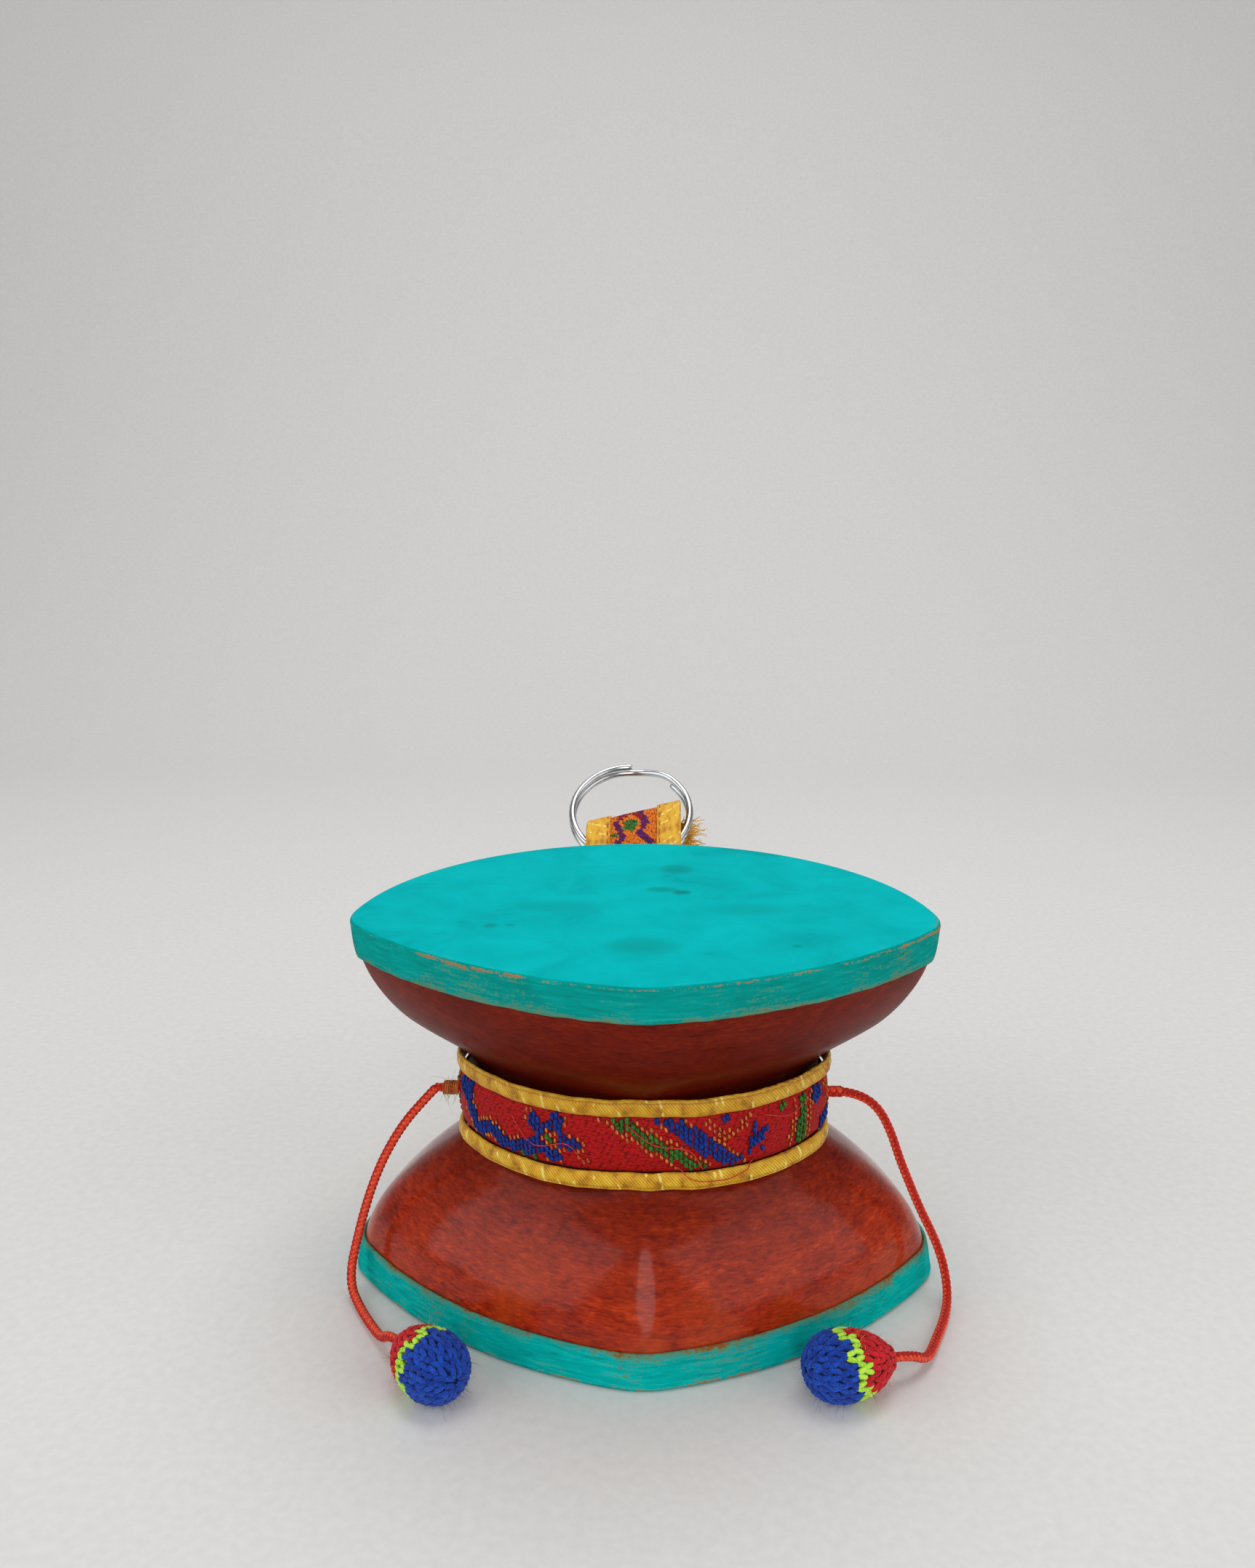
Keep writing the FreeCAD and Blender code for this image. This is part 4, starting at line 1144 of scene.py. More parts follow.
@dataclass(frozen=True)
class Belt:
    """Padded brocade belt round the waist with a satin piping on each edge.

    sizes are the outline's half width, front depth and back depth, tuck and bulge how far the
    cloth lies inside the outline at its edges and how much further out at its middle height, and
    float_pitch the steps of the lattice that the raised floats stand on.
    """

    sizes: tuple[float, float, float] = (38.8, 21.9, 38.6)
    middle: float = 42.0
    piping_spacing: float = 15.6
    piping_half_height: float = 1.85
    cloth_height: float = 11.9
    tuck: float = -0.62
    bulge: float = 0.95
    float_pitch: tuple[float, float] = (0.95, 1.3)
    columns: int = 1100
    cloth_rows: int = 44

    @property
    def length(self) -> float:
        """Length round the outline."""
        return ring_length(self.ring(2000)[0])

    @property
    def foot(self) -> float:
        """Height of the cloth's lower edge."""
        return self.middle - self.cloth_height / 2

    def ring(self, count: int) -> tuple[Array, Array]:
        """Belt outline and its outward normals."""
        ring = BELT_PLAN.points(self.sizes, count)
        return ring, ring_normals(ring)

    def grid(self, growth: Array, z: Array) -> Array:
        """Belt outline moved out by a growth at a height, both of shape (rows, columns)."""
        ring, normal = self.ring(growth.shape[1])
        return at_height(ring + growth[..., None] * normal, z)

    def along(self, count: int) -> Array:
        """Millimetres from the front middle along the outline, from minus to plus half a round."""
        length = ring_length(self.ring(count)[0])
        place = np.arange(count) / count
        return np.where(place < 0.5, place, place - 1) * length

    def bow(self, v: Array) -> Array:
        """Share of the bulge at a height: 1 - |2 v / height - 1| ^ 3.2."""
        return 1 - np.clip(np.abs(2 * v / self.cloth_height - 1), 0, 1) ** 3.2

    def cloth(self) -> Surface:
        """Brocade ground: bulged outside, tucked edges and a plain inside."""
        v, u = np.meshgrid(np.linspace(0, self.cloth_height, self.cloth_rows),
                           self.along(self.columns), indexing="ij")
        place = np.arange(self.columns) / self.columns
        colour, _ = woven(u, v, (), CRIMSON, 5)
        bow = self.bow(v)
        sag = 0.12 * waves(place, 21, 5, 47, 9) * bow
        outer = self.grid(self.tuck + self.bulge * bow + sag, self.foot + v)
        inner = self.grid(np.full((2, self.columns), -0.78), self.foot + v[[-1, 0]])
        lay = np.stack([u, v, 0 * u], -1)
        return Surface.torus(np.concatenate([outer, inner]),
                             {"weave": np.concatenate([colour, colour[[-1, 0]]]),
                              "lay": np.concatenate([lay, lay[[-1, 0]]])})

    def on_cloth(self, u: Array, v: Array, lift: Array | float) -> tuple[Array, Array]:
        """Points over the cloth, and the outward direction at each.

        Args:
            u: millimetres from the front middle along the belt.
            v: millimetres up from the cloth's lower edge.
            lift: distance off the cloth.
        """
        count = 4800
        ring, normal = self.ring(count)
        index = np.round(u / ring_length(ring) * count).astype(int) % count
        growth = self.tuck + self.bulge * self.bow(v) + lift
        plan = ring[index] + growth[..., None] * normal[index]
        return at_height(plan, self.foot + v), at_height(normal[index], 0.0)

    def floats(self) -> Surface:
        """Raised upright silk floats of the pattern, on the front and again behind.

        The floats stand on a lattice whose columns are staggered. The last motif that holds a
        place gives its colour, and a fine motif's floats are short and thin. Painted shade darkens
        each float's sides that turn towards the cloth.
        """
        half_round = self.length / 2
        margin = 0.75
        across, up = self.float_pitch
        column, row = np.meshgrid(np.arange(-56, 57), np.arange(0, 10), indexing="ij")
        u = (across * column + 0.12 * scatter(701, *column.shape)).ravel()
        v = (0.55 + up * (row + 0.37 * (column % 3)) + 0.1 * scatter(702, *column.shape)).ravel()
        chosen = np.full(len(u), -1)
        for number, motif in enumerate(BELT_MOTIFS):
            chosen[motif.inside(u, v)] = number
        kept = (chosen >= 0) & (v > margin) & (v < self.cloth_height - margin)
        kept &= np.abs(u) < half_round / 2
        u, v, chosen = u[kept], v[kept], chosen[kept]
        fine = np.array([motif.fine for motif in BELT_MOTIFS])[chosen][:, None]
        paint = np.array([linear(motif.colour) for motif in BELT_MOTIFS])[chosen]
        tall, wide = np.where(fine, 1.0, 1.5), np.where(fine, 0.62, 0.95)
        points, sides = 7, 8
        t = np.linspace(-1, 1, points)[None]
        lean = 0.22 + 0.10 * scatter(703, len(u), 1)
        paths, ups = [], []
        for shift in (0.0, half_round):
            path, up = self.on_cloth(u[:, None] + shift - 0.5 * tall * t * lean,
                                     v[:, None] + 0.5 * tall * t, 0.12)
            paths.append(path)
            ups.append(up)
        swell = np.sqrt(np.clip(1.05 - t * t, 0, 1)) * (1 + 0.12 * scatter(704, len(u), 1))
        swell = np.tile(0.5 * wide * swell, (2, 1))
        made = Surface.strands(np.concatenate(paths), np.concatenate(ups), 0.85 * swell, swell, sides)
        height = made.values["across"]
        tone = 1 + 0.25 * scatter(705, len(u), 1) * np.ones((1, points))
        shade = np.repeat(np.tile(tone, (2, 1)).ravel(), sides)
        # Painted shade on the sides of each float that turn towards the cloth.
        shade = shade * (0.25 + 0.75 * smooth(-0.1, 0.9, height))
        colour = np.repeat(np.tile(paint, (2, 1)), points * sides, axis=0) * shade[:, None]
        colour[:, 3] = 1.0
        lay = 1.2 * made.points[:, [2, 0, 1]] * (1, 1, 0)
        made.values = {"weave": np.clip(colour, 0, 1), "lay": lay}
        return made

    def padding(self) -> Surface:
        """Wadding behind the cloth: a plump closed band."""
        columns = 600
        angle = angles(16)[:, None]
        lumps = 0.06 * waves(np.arange(columns) / columns, 31, 30, 160, 9)
        growth = -1.5 + 0.62 * np.cos(angle) + lumps * np.cos(angle)
        height = self.middle + 5.9 * boxed(np.sin(angle), 0.4)
        return Surface.torus(self.grid(growth, np.broadcast_to(height, growth.shape)))

    def piping(self, side: int) -> Surface:
        """Satin binding: a broad fold with slanted puckers and a rolled outer edge.

        Args:
            side: 1 for the upper binding, whose puckers grow to the right, and -1 for the lower.
        """
        columns, sides = self.columns, 36
        angle = angles(sides)[:, None]
        place = np.broadcast_to(np.arange(columns) / columns, (sides, columns))
        u = np.broadcast_to(self.along(columns), (sides, columns))
        outward, rise = np.cos(angle), np.sin(angle)
        slant = place + 0.006 * rise
        right = smooth(12, 45, u) if side > 0 else smooth(20, 60, np.abs(u))
        strength = 0.5 + (1.2 if side > 0 else 0.5) * right
        folds = waves(slant, 40 + side, 60, 150, 13) + 0.5 * waves(slant, 50 + side, 170, 300, 11)
        pucker = 0.15 * strength * np.clip(folds, -1.6, 0.9)
        outer = smooth(-0.2, 0.7, outward)
        edge_side = rise * side
        groove = np.exp(-((edge_side - 0.62) / 0.07) ** 2) * outer
        lean = 0.25 * np.clip(edge_side, 0, 1) ** 2 if side > 0 else 0.0
        growth = 0.05 + 0.78 * outward + lean + pucker * outer - 0.22 * groove
        middle = self.middle + side * self.piping_spacing / 2
        wobble = 0.18 * waves(place, 60 + side, 4, 31, 9)
        z = middle + wobble + self.piping_half_height * rise * (1 - 0.05 * folds * strength)
        girth = 9.4
        around = np.broadcast_to((np.arange(sides)[:, None] / sides + 0.5) % 1 * girth, u.shape)
        lay = np.stack([u, around, 0 * u], -1)
        # Painted shade in puckers, the groove, the belt side and over the whole upper piping.
        fold = np.clip(-pucker * 3.0, 0, 0.75) * outer + 0.55 * smooth(-0.3, -0.9, outward)
        fold = np.clip(fold + 0.6 * groove + (0.22 if side > 0 else 0.0), 0, 1)
        return Surface.torus(self.grid(growth, z), {"lay": lay, "fold": fold})

    def stray_threads(self) -> Surface:
        """Loose red threads that lie over the cloth, each a bent line of its own."""
        routes = (
            ((-27, 9.0), (-22, 4.0), (-15, 5.5), (-11, 2.0)),
            ((-3, 10.5), (2, 6.5), (9, 5.0), (12, 0.5)),
            ((6.5, 1.6), (10.0, -1.0), (15.0, -1.7), (19.5, -0.9), (22.5, 0.8)),
            ((25, 10.0), (31, 8.4), (37, 9.6)),
            ((-52, 8.0), (-46, 9.2), (-41, 6.5)),
        )
        paths, directions = [], []
        for number, route in enumerate(routes):
            t = np.linspace(0, len(route) - 1, 60)
            u, v = (curve_through(t, tuple(enumerate(axis))) for axis in zip(*route))
            over_piping = 1.45 * smooth(0.6, -0.3, v)
            path, up = self.on_cloth(u, v, 0.5 + over_piping + 0.1 * np.sin(t * 5 + number))
            paths.append(path)
            directions.append(up)
        path, up = np.stack(paths), np.stack(directions)
        return Surface.strands(path, up, 0.10, 0.10, 6, {"tone": np.zeros(path.shape[:2])})

    def build(self) -> None:
        """Makes and dresses the belt's pieces."""
        cloth = piece(self.cloth(), "belt_cloth", BROCADE, "drum", "crimson_brocade",
                      "belt_brocade")
        floats = piece(self.floats(), "belt_floats", BROCADE, "drum", "crimson_brocade")
        self.length * MM
        wadding = piece(self.padding(), "belt_wadding", WADDING, "drum", "cotton_padding",
                        "belt_padding")
        for side, name in ((-1, "lower"), (1, "upper")):
            piping = piece(self.piping(side), f"belt_{name}_piping", GOLD_SATIN, "drum",
                           "gold_satin", f"belt_{name}_binding")
        piece(self.stray_threads(), "belt_stray_threads", RED_CORD, "drum", "red_cord")


# Cords and beaters


Route = tuple[tuple[float, float, float], ...]
LEFT_ROUTE = ((-43.7, 0, 43.1), (-46.0, -0.9, 40.9), (-50.8, -1.9, 35.4), (-54.8, -3.0, 28.6),
              (-57.6, -4.0, 21.8), (-59.6, -5.0, 15.2), (-61.0, -5.8, 9.6), (-61.9, -7.4, 5.2),
              (-61.3, -10.5, 2.2), (-58.9, -14.8, 1.2), (-55.6, -20.4, 1.2), (-51.5, -26.8, 1.8),
              (-49.309, -29.981, 5.263), (-46.2, -33.2, 5.7335))
RIGHT_ROUTE = ((41.4, 0, 43.1), (45.0, -0.3, 42.8), (49.2, -1.0, 40.2), (51.9, -1.8, 35.2),
               (53.9, -2.5, 29.2), (56.2, -3.0, 23.6), (58.8, -3.7, 17.6), (61.6, -4.6, 12.2),
               (63.6, -6.2, 6.8), (63.9, -10.2, 2.2), (62.0, -16.4, 1.2), (58.7, -23.6, 1.2),
               (55.6, -30.6, 1.8), (51.805, -33.869, 5.263), (47.6, -35.4, 5.7335))


def route_line(name: str, points: Route) -> Array:
    """Smooth line of a cord, in millimetres: the NURBS curve with the route as control points.

    Args:
        name: name of the curve while it is worked out.
        points: the route.

    Returns:
        Points of shape (N, 3).
    """
    curve = bpy.data.curves.new(name, "CURVE")
    curve.dimensions = "3D"
    curve.resolution_u = 32
    spline = curve.splines.new("NURBS")
    spline.points.add(len(points) - 1)
    spline.points.foreach_set("co", np.array([(*point, 1.0) for point in points]).ravel())
    spline.order_u = 3
    spline.use_endpoint_u = True
    carrier = bpy.data.objects.new(name, curve)
    mesh = bpy.data.meshes.new_from_object(carrier)
    line = np.empty(len(mesh.vertices) * 3, np.float32)
    mesh.vertices.foreach_get("co", line)
    bpy.data.objects.remove(carrier)
    bpy.data.curves.remove(curve)
    bpy.data.meshes.remove(mesh)
    return line.reshape(-1, 3).astype(float)


@dataclass(frozen=True)
class Braid:
    """Round braid of eight strands, four each way, that pass over two and under two."""

    lead: float = 4.2
    middle_radius: float = 0.57
    crossing: float = 0.16
    half_width: float = 0.42
    half_thickness: float = 0.27

    def surface(self, line: Array, scale: float = 1.0) -> Surface:
        """Strands round a line.

        A strand that turns one way lies at angle 2 pi (z / lead + k / 4), and its distance from
        the middle line swings twice a lead; the strands that turn the other way swing against it.

        Args:
            line: points in millimetres.
            scale: size of the braid against its plain 2 mm.
        """
        spine = even_line(line, 0.2)
        z = np.linspace(0, steps(spine).sum(), len(spine)) / scale
        _, side, other = frames(spine)
        number = np.arange(4)[:, None] / 4
        paths, ups, tones = [], [], []
        for way in (1, -1):
            swing = np.cos(2 * math.pi * (2 * z / self.lead + 2 * number - way / 8))
            radius = scale * (self.middle_radius + way * self.crossing * swing)[..., None]
            angle = 2 * math.pi * (way * z / self.lead + number)[..., None]
            outward = np.cos(angle) * side + np.sin(angle) * other
            paths.append(spine + radius * outward)
            ups.append(outward)
            tones.append(0.11 * way + 0.05 * scatter(7 + way, 4, 1) + 0 * z)
        return Surface.strands(np.concatenate(paths), np.concatenate(ups),
                               scale * self.half_thickness, scale * self.half_width, 8,
                               {"tone": np.concatenate(tones)})


def hairs(roots: Array, outward: Array, length: tuple[float, float], radius: float, seed: int,
          droop: float = 0.3) -> Surface:
    """Fine loose fibres: each leaves its root outwards and bends to one side.

    Args:
        roots: points in millimetres.
        outward: direction at each root.
        length: shortest and longest fibre.
        radius: half thickness of a fibre.
        seed: picks lengths and bends.
        droop: how far the ends hang, as a share of length.
    """
    count = len(roots)
    t = np.linspace(0, 1, 7)[None, :, None]
    size = length[0] + (length[1] - length[0]) * (0.5 + 0.5 * scatter(seed, count, 1, 1)) ** 2
    lean = unit(outward + 0.75 * scatter(seed + 1, count, 3))[:, None]
    bend = scatter(seed + 2, count, 1, 3) * 0.55
    path = roots[:, None] - 0.15 * outward[:, None] + size * (t * lean + t * t * bend)
    path[..., 2] -= droop * size[..., 0] * t[..., 0] ** 2
    up = np.broadcast_to(np.cross(lean, unit(scatter(seed + 3, count, 1, 3))), path.shape)
    taper = radius * (1 - 0.6 * t[..., 0]) * np.ones((count, 1))
    tone = np.broadcast_to(0.15 * scatter(seed + 4, count, 1), path.shape[:2])
    made = Surface.strands(path, up, taper, taper, 4, {"tone": tone})
    made.values["across"] = np.ones(len(made.points))
    return made


@dataclass(frozen=True)
class Beater:
    """Wooden bead in a crocheted cover: red at the cord, a lime zigzag, then blue.

    tip is where the cord enters, axis the way to the far end, and drop how far the cover's middle
    sags below that line. red_end and lime_end are the shares of the length where the colours
    change, slant how much the changes lean, and profile gives the radius at shares of the length.
    """

    side: str
    tip: tuple[float, float, float]
    axis: tuple[float, float, float]
    seed: int
    length: float = 18.0
    slant: float = 0.0
    diameter: float = 13.0
    drop: float = 0.25
    yarn: float = 0.55
    margin: float = 0.25
    row_height: float = 1.7
    stitch_width: float = 2.2
    red_end: float = 0.40
    lime_end: float = 0.55
    profile: tuple[tuple[float, float], ...] = (
        (0.0, 0.24), (0.08, 0.42), (0.20, 0.70), (0.45, 0.955), (0.62, 1.0), (0.79, 0.90),
        (0.90, 0.68), (0.97, 0.38), (1.0, 0.12))

    def place(self, share: Array, angle: Array, lift: Array | float = 0.0) -> tuple[Array, Array]:
        """Points on the cover and outward directions there.

        Args:
            share: place along the axis from 0 at the cord to 1.
            angle: turn round the axis.
            lift: distance out from the cover's middle surface.
        """
        axis = unit(np.array(self.axis))
        level = unit(np.cross(axis, (0, 0, 1.0)))
        upright = np.cross(level, axis)
        share, angle = np.broadcast_arrays(np.asarray(share, float), np.asarray(angle, float))
        radius = curve_through(share, self.profile) * (self.diameter / 2 - self.yarn)
        near = 0.01
        slope = curve_through(share + near, self.profile) - curve_through(share - near, self.profile)
        slope = np.clip(slope * self.diameter / 2 / (2 * near * self.length), -4, 4)
        ray = np.cos(angle)[..., None] * level + np.sin(angle)[..., None] * upright
        outward = unit(ray - slope[..., None] * axis)
        along = self.margin + share * (self.length - 2 * self.margin)
        middle = np.array(self.tip) + along[..., None] * axis
        middle[..., 2] -= self.drop * np.clip(share * 4, 0, 1)
        return middle + radius[..., None] * ray + np.asarray(lift)[..., None] * outward, outward

    def edge(self, angle: Array, share: float) -> Array:
        """Colour change near a share, as a zigzag of seven teeth round the cover."""
        tooth = 2 / math.pi * np.arcsin(np.sin(7 * angle + self.seed))
        return share + 0.07 * tooth + self.slant * np.sin(angle)

    def rows(self) -> Array:
        """Shares of the length that part the rows of stitches, an even step apart over the cover."""
        share = np.linspace(0, 1, 400)
        radius = curve_through(share, self.profile) * self.diameter / 2
        over = distances(np.stack([share * self.length, radius], -1))
        wanted = np.linspace(0, over[-1], int(over[-1] / self.row_height) + 1)
        return np.interp(wanted, over, share)

    def core(self, low: float, high: float) -> Surface:
        """Closed layer under the stitches between two shares of the length, painted darker as the shade
        in the gaps between them.
        """
        share, angle = np.meshgrid(np.linspace(low, high, 30), angles(72), indexing="ij")
        points, _ = self.place(share, angle, np.full(share.shape, -0.12))
        zeros = np.zeros(share.shape)
        # Painted shade: a lower tone and across value make the layer darker than the stitches.
        return Surface.closed(points, {"tone": zeros - 0.1, "across": zeros + 0.3})

    def stitches(self, wanted: int) -> Surface:
        """Plump leaning strands, two to each V of the crochet, in one of the three colours.

        Args:
            wanted: 0 for red, 1 for lime and 2 for blue.
        """
        bounds = self.rows()
        paths, ups = [], []
        t = np.linspace(0, 1, 9)[None]
        for row, (low, high) in enumerate(zip(bounds, bounds[1:])):
            share = (low + high) / 2
            radius = float(curve_through(np.array(share), self.profile)) * self.diameter / 2
            count = max(int(2 * math.pi * radius / self.stitch_width), 4)
            spacing = 2 * math.pi / count
            middle = spacing * (np.arange(count) + 0.5 * (row % 2)) + 0.35 * row
            middle = middle + 0.1 * scatter(self.seed + row, count) * spacing
            is_red = share < self.edge(middle, self.red_end)
            is_blue = share > self.edge(middle, self.lime_end)
            chosen = middle[np.where(is_red, 0, np.where(is_blue, 2, 1)) == wanted]
            if not len(chosen):
                continue
            for way in (-1, 1):
                angle = chosen[:, None] + way * spacing * (0.42 - 0.34 * t)
                along = share + (t - 0.5) * 1.45 * (high - low)
                lift = -0.05 + 0.32 * np.sin(math.pi * np.clip(t, 0.02, 0.98)) ** 0.6
                lift = lift + 0.05 * scatter(self.seed + 90 + row, len(chosen), 1)
                points, outward = self.place(np.clip(along, 0.0, 1.0), angle, lift)
                paths.append(points)
                ups.append(outward)
        path, up = np.concatenate(paths), np.concatenate(ups)
        swell = 0.16 + 0.36 * np.sin(math.pi * t) ** 0.5
        tone = 0.07 * scatter(self.seed + 17 + wanted, len(path), 1) + 0 * t
        return Surface.strands(path, up, swell, 1.12 * swell, 7, {"tone": tone})

    def fuzz(self, low: float, high: float, count: int) -> Surface:
        """Fine fibres that stand off the yarn between two shares of the length."""
        share = low + (high - low) * (0.5 + 0.5 * scatter(self.seed + 31, count))
        angle = math.pi * scatter(self.seed + 32, count)
        roots, outward = self.place(share, angle, np.full(count, 0.3))
        return hairs(roots, outward, (0.8, 2.6), 0.028, self.seed + 33, 0.1)

    def build(self, body: str) -> None:
        """Makes and dresses the cover's three yarns and the hidden bead and knot.

        Args:
            body: the striker that they ride on.
        """
        parts = (("red", RED_YARN, 0.0, self.red_end, 90),
                 ("lime", LIME_YARN, self.red_end, self.lime_end, 50),
                 ("blue", BLUE_YARN, self.lime_end, 1.0, 150))
        for wanted, (name, finish, low, high, count) in enumerate(parts):
            cover = self.core(max(low - 0.01, 0.0), min(high + 0.01, 1.0))
            cover = cover.joined(self.stitches(wanted))
            cover = on_floor(cover.joined(self.fuzz(low + 0.03, high - 0.02, count)))
            piece(cover, f"{self.side}_cover_{name}", finish, body, f"{name}_yarn",
                  f"{self.side}_beater_{name}_yarn")
        repaint(f"{self.side}_beater_bead", TURNED_WOOD)
        axis = np.array(self.axis)
        start = np.array(self.tip) + 0.6 * axis
        line = start + np.linspace(0, 3.4, 20)[:, None] * axis
        knot = Braid().surface(line, 0.8).joined(tied_knot(start + 4.3 * axis, axis, 1.25, 0.5))
        piece(knot, f"{self.side}_end_knot", RED_CORD, body, "red_cord",
              f"{self.side}_beater_end_knot")


def on_floor(surface: Surface, least: float = 0.02) -> Surface:
    """The surface with nothing lower than a height in millimetres."""
    surface.points[:, 2] = np.maximum(surface.points[:, 2], least)
    return surface


def tied_knot(middle: Array, axis: Array, radius: float, thickness: float) -> Surface:
    """Tight overhand knot: a three-lobed loop of cord wound on itself.

    The line is (sin t + 2 sin 2t, cos t - 2 cos 2t, -sin 3t), scaled down and turned to the axis.

    Args:
        middle: the knot's middle.
        axis: the way that the cord runs through it.
        radius: how far the lobes reach.
        thickness: half thickness of the cord in the knot.
    """
    t = np.linspace(0, 2 * math.pi, 80)
    across, up = np.sin(t) + 2 * np.sin(2 * t), np.cos(t) - 2 * np.cos(2 * t)
    first = unit(np.cross(axis, (0.3, 0.2, 1.0)))
    second = np.cross(axis, first)
    loop = across[:, None] * first + up[:, None] * second - np.sin(3 * t)[:, None] * axis
    path = middle + radius / 3 * loop
    _, side, _ = frames(path, np.array((0.31, 0.52, 0.79)))
    return Surface.strands(path[None], side[None], thickness, thickness, 8,
                           {"tone": np.zeros((1, len(t)))})


@dataclass(frozen=True)
class BeaterCord:
    """Braided cord from the belt's side to a beater, with its held root and the beater itself.

    root_start is where the root begins in X, at the waist cord, root_scale the size of its braid
    against the plain one, and length the cord's real length.
    """

    side: str
    route: Route
    root_start: float
    root_scale: float
    length: float
    beater: Beater

    def root(self) -> Surface:
        """Held stretch under and out of the cloth, with the knot at the waist cord."""
        exit_point = np.array(self.route[0])
        inner = np.array([self.root_start, 0.0, exit_point[2]])
        axis = unit(exit_point - inner)
        line = inner + np.linspace(0, 1, 40)[:, None] * (exit_point - inner)
        knot = tied_knot(inner + 0.55 * axis, axis, 1.35, 0.42)
        return Braid().surface(line, self.root_scale).joined(knot)

    def build(self) -> None:
        """Makes the cord first, then its root and beater."""
        body = f"{self.side}_striker"
        line = route_line(f"{self.side}_route", self.route)
        cord = piece(on_floor(Braid().surface(line)), f"{self.side}_braid", RED_CORD, body,
                     "red_cord", f"{self.side}_cord")
        log.info("%s cord: %.1f mm", self.side, steps(line).sum())
        self.length * MM
        piece(self.root(), f"{self.side}_root", RED_CORD, "drum", "red_cord",
              f"{self.side}_cord_root")
        self.beater.build(body)


@dataclass(frozen=True)
class Whipping:
    """Rust thread wound round the left cord outside the cloth, with loose olive hairs."""

    start: float = 38.9
    length: float = 3.3
    radius: float = 1.32
    thread: float = 0.2
    height: float = 43.1

    def build(self) -> None:
        """Makes the wound thread as a helix along X, with fine hairs round it."""
        turns = self.length / (2.05 * self.thread)
        t = np.linspace(0, 1, int(turns * 26))
        angle = 2 * math.pi * turns * t
        wobble = self.radius + 0.05 * np.sin(angle * 0.37 + 1)
        path = np.stack([-(self.start + self.length * t), wobble * np.cos(angle),
                         self.height + wobble * np.sin(angle)], -1)
        outward = np.stack([0 * t, np.cos(angle), np.sin(angle)], -1)
        wound = Surface.strands(path[None], outward[None], self.thread, self.thread * 1.1, 7,
                                {"tone": 0.1 * np.sin(angle * 0.21)[None]})
        count = 60
        pick = (len(t) * (0.5 + 0.5 * scatter(61, count))).astype(int).clip(0, len(t) - 1)
        loose = hairs(path[pick], outward[pick], (1.0, 3.6), 0.035, 62, 0.4)
        piece(wound, "left_whipping", RUST_THREAD, "drum", "orange_thread", "left_cord_whipping")
        piece(loose, "left_whipping_ends", OLIVE_THREAD, "drum", "lime_yarn")


@dataclass(frozen=True)
class WaistCord:
    """Red braid tied round the waist under the belt, which both beater cords are knotted to."""

    plan: Plan = Plan((0.12, 0.98), (0.56, 0.70), (0.955, 0.10))
    sizes: tuple[float, float, float] = (35.2, 19.4, 35.2)
    height: float = 43.1
    scale: float = 0.62

    def build(self) -> None:
        """Makes the braid along an outline just outside the bowls' waist."""
        ring = self.plan.points(self.sizes, 420)
        braid = Braid().surface(at_height(ring, self.height), self.scale)
        piece(braid, "waist_braid", RED_CORD, "drum", "red_cord", "waist_cord")


# Strap and ring


